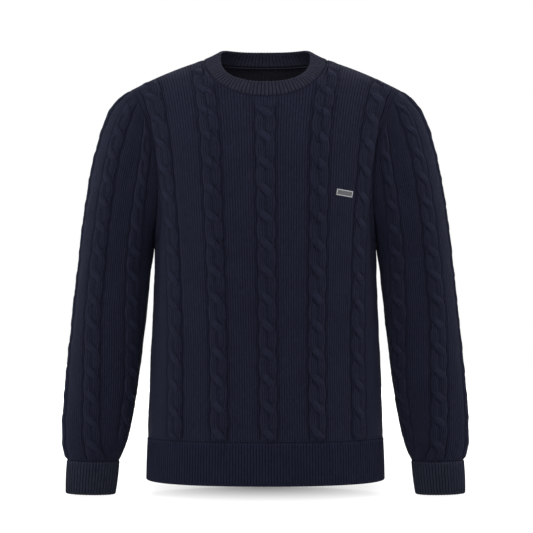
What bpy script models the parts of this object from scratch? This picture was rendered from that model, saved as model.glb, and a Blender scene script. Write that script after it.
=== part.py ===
"""A crew neck pullover in cable knit, filled out and hollow, as it hangs from the shoulders.

Sizes are in millimetres and turned into metres when a mesh is made. +X is the wearer's left, the
front faces -Y and +Z is up. The origin lies midway between the two high shoulder points, where the
shoulder seams meet the neckband. Every piece is a wall of knitted cloth: its outer skin carries
the cables or the ribs, and its inside is plain.
"""

import math

import bpy
import numpy as np

MM = 0.001
COLLECTION = "cable_knit_sweater"

# Cloth
WALL = 2.4
BAND_WALL = 2.8
NECKBAND_WALL = 3.2
SEAM_GAP = 0.3
ARMHOLE_GAP = 0.42

# Body: each row is a level section, a superellipse with its own front and back depth. The fan is
# how far the wales spread sideways there, against the hem, the drift how far those of the front
# lean to the wearer's left, and the spread how much further the outermost cables lie.
SECTION_POWER = 2.35
TORSO_COLUMNS = ("height", "half_width", "front_depth", "back_depth", "fan", "drift", "spread")
TORSO = (
    (-656.0, 186.4, 122.0, 117.0, 1.000, 6.0, 0.0),
    (-597.0, 184.3, 121.0, 116.0, 1.000, 5.4, 0.0),
    (-502.0, 181.5, 121.0, 112.0, 1.000, 4.3, 0.0),
    (-440.0, 178.5, 122.5, 110.0, 1.000, 3.5, 0.0),
    (-377.0, 175.7, 126.0, 112.0, 1.020, 2.7, 0.0),
    (-314.0, 173.6, 130.0, 117.0, 1.040, 1.9, 0.0),
    (-284.0, 173.6, 131.0, 120.0, 1.050, 1.5, 0.8),
    (-220.0, 176.5, 130.0, 124.0, 1.075, 0.7, 2.9),
    (-165.0, 184.0, 124.0, 125.0, 1.095, 0.0, 3.8),
)
HEM_EDGE = -656.0
HEM_SEAM = -590.0
UNDERARM = -284.0
YOKE = -165.0
ARMHOLE_INSET = 64.0

# Shoulder seam, from the high shoulder point out to the shoulder tip
NECK_HALF = 97.0
TIP_HALF = 211.0
SHOULDER_SLOPE = 0.30
SHOULDER_CURVE = 0.0010
ARCH_START = 0.42
ARCH_END = 0.28
LEAN = 0.9

# Neck seam: depth from the shoulder line with the power of its rise, slope at the high point,
# drop at the middle, and how steeply the cloth meets the middle, the high point and the tip
NECK_POWER = 2.2
NECK_COLUMNS = ("side", "depth", "power", "slope", "drop", "middle", "high", "tip")
NECK = (
    (-1, 86.0, 0.85, 0.30, 64.0, 73.0, 17.0, 9.0),
    (1, 62.0, 1.0, 0.03, 6.0, 52.0, 2.0, 9.0),
)
LIFT_POWER = 1.1
HIGH_POINT_REACH = 14.0

# Where a wale of the body ends along the neck and shoulder seams
WALE_END_COLUMNS = ("wale", "end")
WALE_ENDS = (
    (0.0, 0.0),
    (30.0, 36.5),
    (50.0, 62.0),
    (60.0, 76.5),
    (66.0, 86.5),
    (72.5, 97.0),
    (89.5, 120.0),
    (120.0, 155.0),
    (147.0, 186.0),
    (161.5, 202.0),
)
LAST_WALE = 161.5
OUTER_CABLE = 147.0
INNER_WALES = (26.0, 50.0, 62.0, 68.0, 74.0, 88.0, 109.0, 128.0, 147.0)
SIDE_WALE = 245.0

# Cables: two strands that cross over, the left one always in front, so that each crossing shows
# as a slanted ridge with a crease before the next. Each has its middle wale, and how far up its
# first crossing lies.
BODY_CABLES = ((-147.0, 3.0), (-75.0, 12.0), (0.0, 12.0), (75.0, 12.0), (147.0, 1.0))
SLEEVE_CABLES = ((-130.0, 27.0), (-64.0, 27.0), (0.0, 27.0), (64.0, 27.0), (130.0, 27.0))
BODY_CROSSING = 41.1
SLEEVE_CROSSING = 37.6
STRAND_HEIGHT = 3.3
CREASE_SHARE = 0.22
CABLE_EDGE = 13.0
CABLE_FADE = 7.0
CABLE_STATIONS = (-9.0, -3.0, 3.0, 9.0)
CROSSING_SLANT = 0.038

# Sleeve: each row is a ring from its outer line to its inner line. Keep is the share of the
# armhole's own bend that the ring still has.
RING_COLUMNS = (
    "ring", "outer_x", "outer_z", "inner_x", "inner_z", "front", "back", "middle", "keep",
)
RINGS = (
    (0, 211.0, -47.2, 173.9, -284.0, 61.0, 61.0, 0.0, 1.00),
    (1, 222.4, -56.0, 174.5, -288.5, 62.5, 62.5, 0.0, 0.80),
    (2, 235.4, -69.5, 174.9, -293.5, 63.5, 63.5, 0.0, 0.58),
    (3, 250.0, -95.0, 175.3, -299.0, 64.0, 64.0, 0.0, 0.36),
    (4, 261.3, -130.5, 175.8, -305.0, 64.0, 64.0, 0.0, 0.18),
    (5, 269.6, -165.0, 176.5, -312.0, 63.5, 63.0, 0.0, 0.07),
    (6, 278.6, -215.0, 178.0, -322.0, 62.0, 62.0, 0.0, 0.00),
    (7, 286.0, -267.0, 180.6, -339.0, 60.0, 61.0, 0.0, 0.00),
    (8, 296.8, -363.0, 184.3, -378.0, 56.0, 58.0, -1.0, 0.00),
    (9, 303.3, -426.0, 191.2, -440.0, 50.0, 52.0, -4.0, 0.00),
    (10, 309.2, -488.0, 198.8, -502.0, 43.0, 45.0, -8.0, 0.00),
    (11, 312.3, -521.0, 203.4, -534.0, 39.5, 41.0, -10.0, 0.00),
    (12, 314.7, -553.0, 209.0, -565.0, 36.0, 37.0, -12.0, 0.00),
    (13, 315.2, -586.0, 216.4, -597.0, 33.0, 34.0, -14.0, 0.00),
    (14, 313.8, -607.0, 222.0, -612.0, 31.0, 31.5, -15.0, 0.00),
    (15, 309.5, -625.5, 228.5, -626.5, 28.0, 28.5, -15.5, 0.00),
)
RING_POWER = 2.1
SEAM_WALE = 184.0
STEADY_WALE = 80.0
LAST_SLEEVE_WALE = 144.5
UNDERARM_SHARE = 0.93
FADE_START = 0.45
FADE_REACH = 0.35
# How far round the half ring three wales lie, from the armhole down to where they run level
# distances apart
UPPER_WALES = (64.0, 130.0, LAST_SLEEVE_WALE)
UPPER_COLUMNS = ("ring", "second", "third", "last")
UPPER = (
    (0, 0.100, 0.270, 0.410),
    (1, 0.130, 0.400, 0.520),
    (2, 0.175, 0.530, 0.630),
    (3, 0.230, 0.620, 0.705),
    (4, 0.280, 0.665, 0.745),
    (5, 0.318, 0.682, 0.760),
    (6, 0.346, 0.688, 0.765),
    (7, 0.364, 0.690, 0.765),
    (8, 0.368, 0.715, 0.795),
)
CUFF = (
    (0, 309.3, -625.9, 228.7, -626.9, 28.0, 28.5, -15.5, 0.0),
    (1, 311.4, -677.5, 235.0, -679.0, 26.0, 26.0, -16.0, 0.0),
)

# Neckband: its top edge, by how far back a point lies
TOP_HALF = 70.5
TOP_FRONT = 80.0
TOP_BACK = 55.0
TOP_EDGE_COLUMNS = ("depth", "height")
TOP_EDGE = (
    (-80.0, -40.7),
    (-55.0, -27.5),
    (-30.0, -12.5),
    (-10.0, 0.5),
    (0.0, 8.0),
    (10.0, 14.0),
    (22.0, 17.5),
    (55.0, 18.2),
)
NECKBAND_GAP = 0.5
NECKBAND_BEVEL = 0.25

# Ribs
RIB_HEIGHT = 1.1
HEM_RIBS = 104
CUFF_RIBS = 46
NECK_RIBS = 86

# Soft folds: centre across and up the piece, half sizes, and depth (a ridge is positive)
FOLD_COLUMNS = ("across", "up", "half_across", "half_up", "depth")
BODY_FOLDS = (
    (196.0, 300.0, 13.0, 75.0, -3.5),
    (-196.0, 292.0, 12.0, 85.0, -3.8),
    (172.0, 372.0, 11.0, 46.0, 1.8),
    (-172.0, 365.0, 11.0, 50.0, 1.8),
    (118.0, 168.0, 16.0, 90.0, -1.6),
    (-112.0, 120.0, 15.0, 80.0, -1.5),
    (38.0, 250.0, 15.0, 110.0, -1.2),
    (-36.0, 330.0, 15.0, 95.0, -1.3),
)
SLEEVE_FOLDS = (
    (-106.0, 445.0, 10.0, 62.0, -4.2),
    (-84.0, 455.0, 9.0, 55.0, 1.6),
    (106.0, 440.0, 10.0, 66.0, -3.8),
    (-96.0, 262.0, 20.0, 26.0, -2.6),
    (-99.0, 318.0, 18.0, 22.0, -2.0),
    (92.0, 296.0, 20.0, 26.0, -2.2),
    (33.0, 92.0, 13.0, 40.0, -1.4),
    (-34.0, 64.0, 12.0, 34.0, -1.6),
)

# Small woven tab on the wearer's left chest
BADGE_ACROSS = 113.8
BADGE_UP = 377.5
BADGE_WIDTH = 27.0
BADGE_HEIGHT = 10.5
BADGE_THICK = 0.9
BADGE_TURN = 8.0

YARN = (0.0105, 0.0122, 0.0255)
RIB_YARN = (0.0125, 0.0140, 0.0270)
TAB_THREAD = (0.020, 0.020, 0.026)


def smooth(table, columns, name, at):
    """A named column of a table, on a smooth curve through its rows, at values of the first."""
    rows = np.array(table, float)
    xs = rows[:, 0]
    ys = rows[:, columns.index(name)]
    at = np.clip(np.asarray(at, float), xs[0], xs[-1])
    slopes = np.gradient(ys, xs)
    k = np.clip(np.searchsorted(xs, at) - 1, 0, len(xs) - 2)
    step = xs[k + 1] - xs[k]
    t = (at - xs[k]) / step
    return (
        (2 * t**3 - 3 * t**2 + 1) * ys[k]
        + (t**3 - 2 * t**2 + t) * step * slopes[k]
        + (3 * t**2 - 2 * t**3) * ys[k + 1]
        + (t**3 - t**2) * step * slopes[k + 1]
    )


def straight(table, columns, name, at):
    """A named column of a table, on straight lines between its rows."""
    rows = np.array(table, float)
    return np.interp(at, rows[:, 0], rows[:, columns.index(name)])


def ease(t):
    t = np.clip(t, 0.0, 1.0)
    return t * t * (3.0 - 2.0 * t)


def lengths(points):
    """How far along a line each of its points lies."""
    steps = np.linalg.norm(np.diff(points, axis=0), axis=1)
    return np.concatenate([[0.0], np.cumsum(steps)])


def along(points, run, at):
    """Points of a line at given lengths along it."""
    return np.stack([np.interp(at, run, points[:, axis]) for axis in range(3)], axis=-1)


def unit(vectors):
    return vectors / np.maximum(np.linalg.norm(vectors, axis=-1, keepdims=True), 1e-9)


def arc_of(angles, half, depth, power):
    """Points of a superellipse from its depth axis (angle 0) to its width axis."""
    return (
        half * np.abs(np.sin(angles)) ** (2.0 / power) * np.sign(np.sin(angles)),
        depth * np.abs(np.cos(angles)) ** (2.0 / power) * np.sign(np.cos(angles)),
    )


# ---------------------------------------------------------------- the shapes of the cloth


def shoulder_height(x):
    out = x - NECK_HALF
    return -SHOULDER_SLOPE * out - SHOULDER_CURVE * out * out


def neck(side, name):
    row = NECK[0] if side < 0 else NECK[1]
    return row[NECK_COLUMNS.index(name)]


def neck_point(side, share):
    """Depth and height of the neck seam, from its high point (share 0) to its middle (1)."""
    full = neck(side, "depth")
    depth = full * share ** neck(side, "power")
    bend = (neck(side, "drop") / full - neck(side, "slope")) / full
    return side * depth, -depth * (neck(side, "slope") + bend * depth)


class Skin:
    """A sheet of wales. Across is signed towards the right of someone who looks at its outside,
    and up runs along each wale from the lower seam."""

    step = 0.5

    def __init__(self):
        self.kept = {}

    def wale(self, across):
        key = round(float(across), 6)
        if key not in self.kept:
            points = self.route(key)
            self.kept[key] = (points, lengths(points))
        return self.kept[key]

    def length(self, across):
        return self.wale(across)[1][-1]

    def middles(self):
        return [middle for middle, _ in self.cables]

    def frame(self, across, up):
        """Points of the plain surface and its outward normals at heights up along one wale."""
        up = np.atleast_1d(np.asarray(up, float))
        points, run = self.wale(across)
        here = along(points, run, up)
        above = along(points, run, np.minimum(up + self.step, run[-1]))
        below = along(points, run, np.maximum(up - self.step, 0.0))
        rise = unit(above - below)
        right = np.zeros_like(here)
        for shift in (-self.step, self.step):
            if abs(across + shift) <= self.limit:
                other, other_run = self.wale(across + shift)
                at = up / run[-1] * other_run[-1]
                for _ in range(2):
                    miss = np.sum((along(other, other_run, at) - here) * rise, axis=1)
                    at = np.clip(at - miss, 0.0, other_run[-1])
                beside = along(other, other_run, at) - here
                miss = np.abs(np.sum(beside * rise, axis=1))
                right += np.sign(shift) * beside / (0.05 + miss)[:, None]
        return here, unit(np.cross(right, rise))

    def fold(self, across, up):
        """How far the soft folds move the cloth out or in."""
        rows = np.array(self.folds, float)
        name = FOLD_COLUMNS.index
        d_across = (across - rows[:, name("across")]) / rows[:, name("half_across")]
        total = np.zeros_like(up, dtype=float)
        for k, row in enumerate(rows):
            d_up = (up - row[name("up")]) / row[name("half_up")]
            total += row[name("depth")] * np.exp(-0.5 * (d_across[k] ** 2 + d_up**2))
        return total

    def place(self, across, up, out):
        """Points at a distance out from the cloth's plain outer surface."""
        up = np.atleast_1d(np.asarray(up, float))
        points, normal = self.frame(across, up)
        edge = self.edge_share(across, up)
        moved = points + normal * (out + self.fold(across, up) * edge)[:, None]
        return self.keep_side(moved)

    def edge_share(self, across, up):
        """Folds and cables die away towards the seams."""
        top = self.length(across)
        return ease(up / 12.0) * ease((top - up) / 12.0)

    def keep_side(self, points):
        return points


class BodyPanel(Skin):
    """The front (side -1) or the back (side 1) of the body."""

    limit = SIDE_WALE
    long_step, short_step, bend_step = 86.0, 21.0, 13.0
    border, first_row, plain_turn, bend_turn, bends_from = 6.0, 0.0, 425.0, 280.0, 165.0
    cables = BODY_CABLES
    crossing = BODY_CROSSING
    folds = BODY_FOLDS

    def __init__(self, side):
        super().__init__()
        self.side = side
        self.heights = np.linspace(HEM_SEAM, YOKE, 64)
        self.quarters = [self.quarter(height) for height in self.heights]
        self.fan = smooth(TORSO, TORSO_COLUMNS, "fan", self.heights)
        self.drift = smooth(TORSO, TORSO_COLUMNS, "drift", self.heights) * (side < 0)
        self.spread = smooth(TORSO, TORSO_COLUMNS, "spread", self.heights)

    def quarter(self, height):
        """A level section from the middle to the side, with its running length."""
        depth_name = "front_depth" if self.side < 0 else "back_depth"
        half = smooth(TORSO, TORSO_COLUMNS, "half_width", height)
        depth = smooth(TORSO, TORSO_COLUMNS, depth_name, height)
        x, y = arc_of(np.linspace(0.0, math.pi / 2, 241), half, depth, SECTION_POWER)
        points = np.stack([x, self.side * np.abs(y), np.full_like(x, height)], axis=1)
        return points, lengths(points)

    def edge(self, height, quarter_length):
        """Running length of the panel's side edge: the side seam, then the armhole."""
        rise = (YOKE - height) / (YOKE - UNDERARM)
        inset = ARMHOLE_INSET * math.sqrt(max(0.0, 1.0 - min(rise, 1.0) ** 2))
        return quarter_length - inset

    def route(self, across):
        lower = []
        levels = zip(self.heights, self.fan, self.drift, self.spread, self.quarters)
        for height, fan, drift, spread, (points, run) in levels:
            moved = across + drift * (1.0 - (across / SIDE_WALE) ** 2)
            inner, beyond = self.shares(moved)
            length = inner * fan + spread * (inner / OUTER_CABLE) ** 4
            last = LAST_WALE * fan + spread * (LAST_WALE / OUTER_CABLE) ** 4
            length += beyond * (self.edge(height, run[-1]) - last)
            lower.append(along(points, run, length) * (math.copysign(1.0, moved), 1.0, 1.0))
        lower = np.array(lower)
        start = lower[-1]
        side = math.copysign(1.0, across)
        end, lift = self.end_of(*self.shares(across))
        span = np.linalg.norm(end - start * (side, 1.0, 1.0))
        leave = unit(lower[-1] - lower[-2])
        free = 1.0 - math.exp(-(((end[0] - NECK_HALF) / HIGH_POINT_REACH) ** 2))
        lean = LEAN * free * (end[0] - abs(start[0])) / span
        arrive = unit(np.array([side * lean, -self.side * math.cos(lift), math.sin(lift)]))
        end[0] *= side
        first = start + ARCH_START * span * leave
        second = end - ARCH_END * span * arrive
        t = np.linspace(0.0, 1.0, 37)[1:, None]
        upper = (
            (1 - t) ** 3 * start
            + 3 * t * (1 - t) ** 2 * first
            + 3 * t**2 * (1 - t) * second
            + t**3 * end
        )
        points = np.concatenate([lower, upper])
        points[:, 0] *= -self.side
        return points

    def shares(self, across):
        """The part of a wale's place that follows the fan, and its share of the rest."""
        wale = abs(across)
        return min(wale, LAST_WALE), max(0.0, (wale - LAST_WALE) / (SIDE_WALE - LAST_WALE))

    def end_of(self, inner, beyond):
        """Where a wale meets the neck or shoulder seam, and at what angle above level."""
        x = straight(WALE_ENDS, WALE_END_COLUMNS, "end", inner)
        x = x + beyond * (TIP_HALF - x)
        high, tip = neck(self.side, "high"), neck(self.side, "tip")
        if x < NECK_HALF:
            share = (1.0 - (x / NECK_HALF) ** NECK_POWER) ** (1.0 / NECK_POWER)
            y, z = neck_point(self.side, share)
            lift = high + (neck(self.side, "middle") - high) * share**LIFT_POWER
        else:
            y, z = 0.0, shoulder_height(x)
            lift = high + (tip - high) * (x - NECK_HALF) / (TIP_HALF - NECK_HALF)
        return np.array([x, y, z]), math.radians(lift)

    def keep_side(self, points):
        """The front stays in front of the side and shoulder seams, and the back behind them."""
        points[:, 1] = self.side * np.maximum(self.side * points[:, 1], SEAM_GAP / 2)
        return points

    def underarm_at(self):
        """How far up the side edge the armhole starts."""
        points, run = self.wale(SIDE_WALE)
        return float(np.interp(UNDERARM, points[: len(self.heights), 2], run[: len(self.heights)]))

    def armhole(self, count):
        """The +X armhole edge from the shoulder tip to the underarm, evenly spaced, with the
        directions out of the panel across the seam and out of the cloth."""
        edge = -self.side * SIDE_WALE
        top = self.length(edge)
        up = np.linspace(top, self.underarm_at(), count)
        points, normal = self.frame(edge, up)
        upward = unit(np.gradient(points, axis=0)) * -1.0
        across = unit(np.cross(upward, normal)) * -self.side
        return points, across, normal

    def squeeze(self, across, up):
        return np.ones_like(up)


class Sleeve(Skin):
    """A sleeve, for the wearer's left (side 1) or right (side -1)."""

    limit = 1.0e9
    long_step, short_step, bend_step = 70.0, 18.5, 18.5
    border, first_row, plain_turn, bend_turn, bends_from = 10.0, 20.0, 330.0, 270.0, 150.0
    cables = SLEEVE_CABLES
    crossing = SLEEVE_CROSSING
    folds = SLEEVE_FOLDS
    count = 181

    def __init__(self, side, armhole):
        super().__init__()
        self.side = side
        self.steps = np.concatenate([np.linspace(15, 8, 50), np.linspace(7.9, 0.0, 72)])
        self.halves = {}
        self.tight = {}
        for name in ("front", "back"):
            start = ring_half(RINGS, 0.0, name, self.count)[0]
            bend = armhole[name] - start
            rings = []
            for step in self.steps:
                points, _ = ring_half(RINGS, step, name, self.count)
                keep = smooth(RINGS, RING_COLUMNS, "keep", step)
                rings.append(points + max(float(keep), 0.0) * bend)
            self.halves[name] = [(ring, lengths(ring)) for ring in rings]
        upper = [smooth(UPPER, UPPER_COLUMNS, name, self.steps) for name in UPPER_COLUMNS[1:]]
        self.upper = np.array(upper).T
        self.settle = ease(self.steps - UPPER[-1][0])

    def share(self, wale, half_length):
        """How far round the half ring a wale lies, once the rings have settled."""
        room = (UNDERARM_SHARE * half_length - STEADY_WALE) / (LAST_SLEEVE_WALE - STEADY_WALE)
        tight = min(room, 1.0)
        held = min(wale, STEADY_WALE)
        squeezed = min(max(wale - STEADY_WALE, 0.0), LAST_SLEEVE_WALE - STEADY_WALE) * tight
        last = STEADY_WALE + (LAST_SLEEVE_WALE - STEADY_WALE) * tight
        beyond = max(0.0, (wale - LAST_SLEEVE_WALE) / (SEAM_WALE - LAST_SLEEVE_WALE))
        return (held + squeezed + beyond * (half_length - last)) / half_length, tight

    def route(self, across):
        turned = (across + SEAM_WALE) % (2 * SEAM_WALE) - SEAM_WALE
        wale = abs(turned)
        name = "front" if turned * self.side < 0 else "back"
        points = []
        tights = []
        wales = (0.0, *UPPER_WALES, SEAM_WALE)
        for (ring, run), upper, settle in zip(self.halves[name], self.upper, self.settle):
            share, tight = self.share(wale, run[-1])
            above = float(np.interp(wale, wales, (0.0, *upper, 1.0)))
            share = above + settle * (share - above)
            points.append(along(ring, run, share * run[-1]))
            tights.append(tight)
        points = np.array(points)
        points[:, 0] *= self.side
        self.tight[across] = tights
        return points

    def squeeze(self, across, up):
        """The last cables fade where the sleeve narrows under the arm."""
        if abs(across) < STEADY_WALE:
            return np.ones_like(up)
        _, run = self.wale(across)
        tight = np.interp(up, run, self.tight[round(float(across), 6)])
        return ease((tight - FADE_START) / FADE_REACH)


def ring_half(table, ring, name, count):
    """Half a ring from its outer line to its inner line, through the front or the back."""
    row = {key: float(smooth(table, RING_COLUMNS, key, ring)) for key in RING_COLUMNS[1:]}
    outer = np.array([row["outer_x"], row["middle"], row["outer_z"]])
    inner = np.array([row["inner_x"], row["middle"], row["inner_z"]])
    depth = -row["front"] if name == "front" else row["back"]
    angles = np.linspace(0.0, math.pi, 4 * count)
    side, along_axis = arc_of(angles, depth, 1.0, RING_POWER)
    points = (outer + inner) / 2 + along_axis[:, None] * (outer - inner) / 2
    points[:, 1] += side
    run = lengths(points)
    even = along(points, run, np.linspace(0.0, run[-1], count))
    return even, run[-1]


def cable_height(across, up_turns):
    """Height of a two-strand cable over the ground, across it and in crossings along it."""
    swell = 0.5 + 0.5 * np.cos(2.0 * math.pi * (up_turns + CROSSING_SLANT * across))
    bow = math.sqrt(max(0.0, 1.0 - (across / CABLE_EDGE) ** 2))
    return STRAND_HEIGHT * bow * (CREASE_SHARE + (1.0 - CREASE_SHARE) * swell)


def relief(skin, across, up):
    """Height of the knit over the plain ground: only the cables stand out."""
    for centre, first in skin.cables:
        off = across - centre
        if abs(off) < CABLE_EDGE:
            turns = (up - first) / skin.crossing
            top = skin.length(across)
            fade = ease(up / CABLE_FADE) * ease((top - up) / CABLE_FADE)
            return cable_height(off, turns) * fade * skin.squeeze(across, up)
    return np.zeros_like(up)


# ---------------------------------------------------------------- walls of triangles


class Wall:
    """Collects the points and triangles of one closed wall."""

    def __init__(self):
        self.points = []
        self.faces = []

    def line(self, points):
        first = len(self.points)
        self.points.extend(np.asarray(points, float).tolist())
        return list(range(first, len(self.points)))

    def zip(self, left, left_at, right, right_at, inward=False):
        """Triangles between two lines of points, the left one to the left as both run up, seen
        from the side they face, or from the other side for a face that looks inward."""
        first = len(self.faces)
        i = j = 0
        while i < len(left) - 1 or j < len(right) - 1:
            step_left = j == len(right) - 1 or (
                i < len(left) - 1
                and left_at[i] + left_at[i + 1] <= right_at[j] + right_at[j + 1]
            )
            if step_left:
                self.faces.append((left[i], right[j], left[i + 1]))
                i += 1
            else:
                self.faces.append((left[i], right[j], right[j + 1]))
                j += 1
        if inward:
            self.faces[first:] = [face[::-1] for face in self.faces[first:]]

    def rim(self, first, second, at):
        """Two triangles between each pair of matching points."""
        self.zip(first, at, second, at)


def make_object(name, wall, colour, roughness, collection):
    mesh = bpy.data.meshes.new(name)
    mesh.from_pydata([tuple(MM * value for value in point) for point in wall.points], [], wall.faces)
    mesh.validate()
    mesh.shade_smooth()
    mesh.set_sharp_from_angle(angle=math.radians(50.0))
    material = bpy.data.materials.new(name + "_yarn")
    material.use_nodes = True
    shader = material.node_tree.nodes["Principled BSDF"]
    shader.inputs["Base Color"].default_value = (*colour, 1.0)
    shader.inputs["Roughness"].default_value = roughness
    shader.inputs["Metallic"].default_value = 0.0
    mesh.materials.append(material)
    piece = bpy.data.objects.new(name, mesh)
    collection.objects.link(piece)
    return piece


def even_steps(start, end, longest):
    return np.linspace(start, end, max(2, int(math.ceil((end - start) / longest)) + 1))


def plain_rows(skin, across, top):
    """Heights for a plain column: long steps up the body, short ones over the shoulder and
    wherever the edge of the cloth bends."""
    bends = abs(across) > skin.bends_from
    turn = min(skin.bend_turn if bends else skin.plain_turn, top - 1.0)
    lower = even_steps(skin.first_row, turn, skin.long_step)
    if skin.first_row > 0.0:
        lower = np.concatenate([[0.0], lower])
    step = skin.bend_step if bends else skin.short_step
    return np.concatenate([lower, even_steps(turn, top, step)[1:]])


def cable_rows(crossing, first, off, top):
    """Heights of a cable column: the ridge and the crease of each crossing, slanted across."""
    shear = -CROSSING_SLANT * off * crossing
    count = int(2.0 * top / crossing) + 4
    rows = first + shear + 0.5 * crossing * np.arange(-3, count)
    inside = rows[(rows > 5.0) & (rows < top - 5.0)]
    return np.concatenate([[0.0], inside, [top]]), shear


def outer_columns(skin, plain_across):
    """Each outer column: across, heights, places for zipping, and height over the ground."""
    columns = []
    for across in plain_across:
        top = skin.length(across) - skin.border
        rows = plain_rows(skin, across, top)
        columns.append((across, rows, rows, relief(skin, across, rows)))
    for centre, first in skin.cables:
        for off in CABLE_STATIONS:
            across = centre + off
            top = skin.length(across) - skin.border
            rows, shear = cable_rows(skin.crossing, first, off, top)
            columns.append((across, rows, rows - shear, relief(skin, across, rows)))
    return sorted(columns, key=lambda column: column[0])


def plain_places(cables, between, sides, inside=False):
    """Across places of the plain columns: both edges of each cable, or only its middle on the
    inside, and the ground between cables."""
    places = []
    for centre in cables:
        places += [centre] if inside else [centre - CABLE_EDGE, centre + CABLE_EDGE]
    for left, right in zip(cables[:-1], cables[1:]):
        places += list(np.linspace(left + CABLE_EDGE, right - CABLE_EDGE, between + 2)[1:-1])
    return sorted(places + list(sides) + [-side for side in sides])


def edge_rows(skin):
    """Heights up the side edge of a panel: long steps to the underarm, short round the armhole."""
    underarm = skin.underarm_at()
    top = skin.length(SIDE_WALE) - skin.border
    lower = even_steps(0.0, underarm, 55.0)
    bend = even_steps(underarm, underarm + 42.0, 4.7)
    rest = even_steps(underarm + 42.0, top, 8.0)
    return np.concatenate([lower, bend[1:], rest[1:]])


def panel_border(skin):
    """Across places of the points along the neck and shoulder seams."""
    ends, wales = np.array(WALE_ENDS).T[::-1]
    curve = NECK_HALF * np.sin(np.linspace(0.0, math.pi / 2, 23)) ** (2.0 / NECK_POWER)
    neck = np.interp(curve, ends, wales)
    shoulder = np.interp(np.linspace(NECK_HALF, ends[-1], 9)[1:], ends, wales)
    half = np.concatenate([neck, shoulder, [0.5 * (LAST_WALE + SIDE_WALE), SIDE_WALE]])
    return np.concatenate([-half[:0:-1], half])


def build_panel(name, skin, collection):
    sides = np.linspace(LAST_WALE, SIDE_WALE, 5)[1:-1]
    places = plain_places(skin.middles(), 2, sides)
    half = np.concatenate([INNER_WALES, sides])
    inner_places = np.concatenate([-half[::-1], [0.0], half])
    wall = Wall()
    edges = edge_rows(skin)
    border = panel_border(skin)

    def skin_lines(columns, thick):
        """The lines of one face of the wall, its top border, and the two side edges."""
        lines = []
        for across, rows, at, height in columns:
            lines.append((across, wall.line(skin.place(across, rows, height - thick)), at))
        top = [skin.place(a, [skin.length(a)], np.array([-thick]))[0] for a in border]
        return lines, wall.line(top)

    left = (-SIDE_WALE, edges, edges, np.zeros_like(edges))
    right = (SIDE_WALE, edges, edges, np.zeros_like(edges))
    outside = [left] + outer_columns(skin, places) + [right]
    inside = [left]
    for across in inner_places:
        rows = plain_rows(skin, across, skin.length(across) - skin.border)
        inside.append((across, rows, rows, np.zeros_like(rows)))
    inside.append(right)
    outer, outer_top = skin_lines(outside, 0.0)
    inner, inner_top = skin_lines(inside, WALL)
    for one, two in zip(outer[:-1], outer[1:]):
        wall.zip(one[1], one[2], two[1], two[2])
    for one, two in zip(inner[:-1], inner[1:]):
        wall.zip(one[1], one[2], two[1], two[2], inward=True)
    outer_ends = [line[1][-1] for line in outer]
    inner_ends = [line[1][-1] for line in inner]
    outer_at = [line[0] for line in outer]
    inner_at = [line[0] for line in inner]
    wall.zip(outer_top, border, outer_ends, outer_at)
    wall.zip(inner_ends, inner_at, inner_top, border)
    wall.rim(inner_top, outer_top, border)
    outer_feet = [line[1][0] for line in outer]
    inner_feet = [line[1][0] for line in inner]
    wall.zip(outer_feet, outer_at, inner_feet, inner_at)
    steps = np.arange(len(edges) + 1.0)
    wall.rim(outer[-1][1] + [outer_top[-1]], inner[-1][1] + [inner_top[-1]], steps)
    wall.rim(inner[0][1] + [inner_top[0]], outer[0][1] + [outer_top[0]], steps)
    return make_object(name, wall, YARN, 0.9, collection)


def build_sleeve(name, skin, collection):
    under = np.linspace(LAST_SLEEVE_WALE, SEAM_WALE, 6)[1:-1]
    places = plain_places(skin.middles(), 2, under) + [SEAM_WALE]
    inner_places = plain_places(skin.middles(), 2, under, inside=True) + [SEAM_WALE]
    border = sleeve_border()
    wall = Wall()
    outside = outer_columns(skin, places)
    inside = []
    for across in inner_places:
        rows = plain_rows(skin, across, skin.length(across) - skin.border)
        inside.append((across, rows, rows, np.zeros_like(rows)))
    faces = []
    for columns, thick in ((outside, 0.0), (inside, WALL)):
        lines = []
        for across, rows, at, height in columns:
            lines.append((across, wall.line(skin.place(across, rows, height - thick)), at))
        top = [skin.place(a, [skin.length(a)], np.array([-thick]))[0] for a in border]
        faces.append((lines, wall.line(top)))
    (outer, outer_top), (inner, inner_top) = faces
    turn = 2 * SEAM_WALE

    def closed(lines):
        return lines + [(lines[0][0] + turn, lines[0][1], lines[0][2])]

    def ring(values, first):
        return list(values) + [first]

    for one, two in zip(closed(outer)[:-1], closed(outer)[1:]):
        wall.zip(one[1], one[2], two[1], two[2])
    for one, two in zip(closed(inner)[:-1], closed(inner)[1:]):
        wall.zip(one[1], one[2], two[1], two[2], inward=True)
    outer_at = ring([line[0] for line in outer], outer[0][0] + turn)
    inner_at = ring([line[0] for line in inner], inner[0][0] + turn)
    border_at = ring(border, border[0] + turn)
    outer_ends = ring([line[1][-1] for line in outer], outer[0][1][-1])
    inner_ends = ring([line[1][-1] for line in inner], inner[0][1][-1])
    outer_feet = ring([line[1][0] for line in outer], outer[0][1][0])
    inner_feet = ring([line[1][0] for line in inner], inner[0][1][0])
    outer_ring = ring(outer_top, outer_top[0])
    inner_ring = ring(inner_top, inner_top[0])
    wall.zip(outer_ring, border_at, outer_ends, outer_at)
    wall.zip(inner_ends, inner_at, inner_ring, border_at)
    wall.rim(inner_ring, outer_ring, border_at)
    wall.zip(outer_feet, outer_at, inner_feet, inner_at)
    return make_object(name, wall, YARN, 0.9, collection)


def sleeve_border():
    """Across places of the points round the armhole seam, evenly spaced along it."""
    shares = (0.0, *UPPER[0][1:], 1.0)
    half = np.interp(np.linspace(0.0, 1.0, 41), shares, (0.0, *UPPER_WALES, SEAM_WALE))
    return np.concatenate([-half[-2:0:-1], half])


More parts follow.
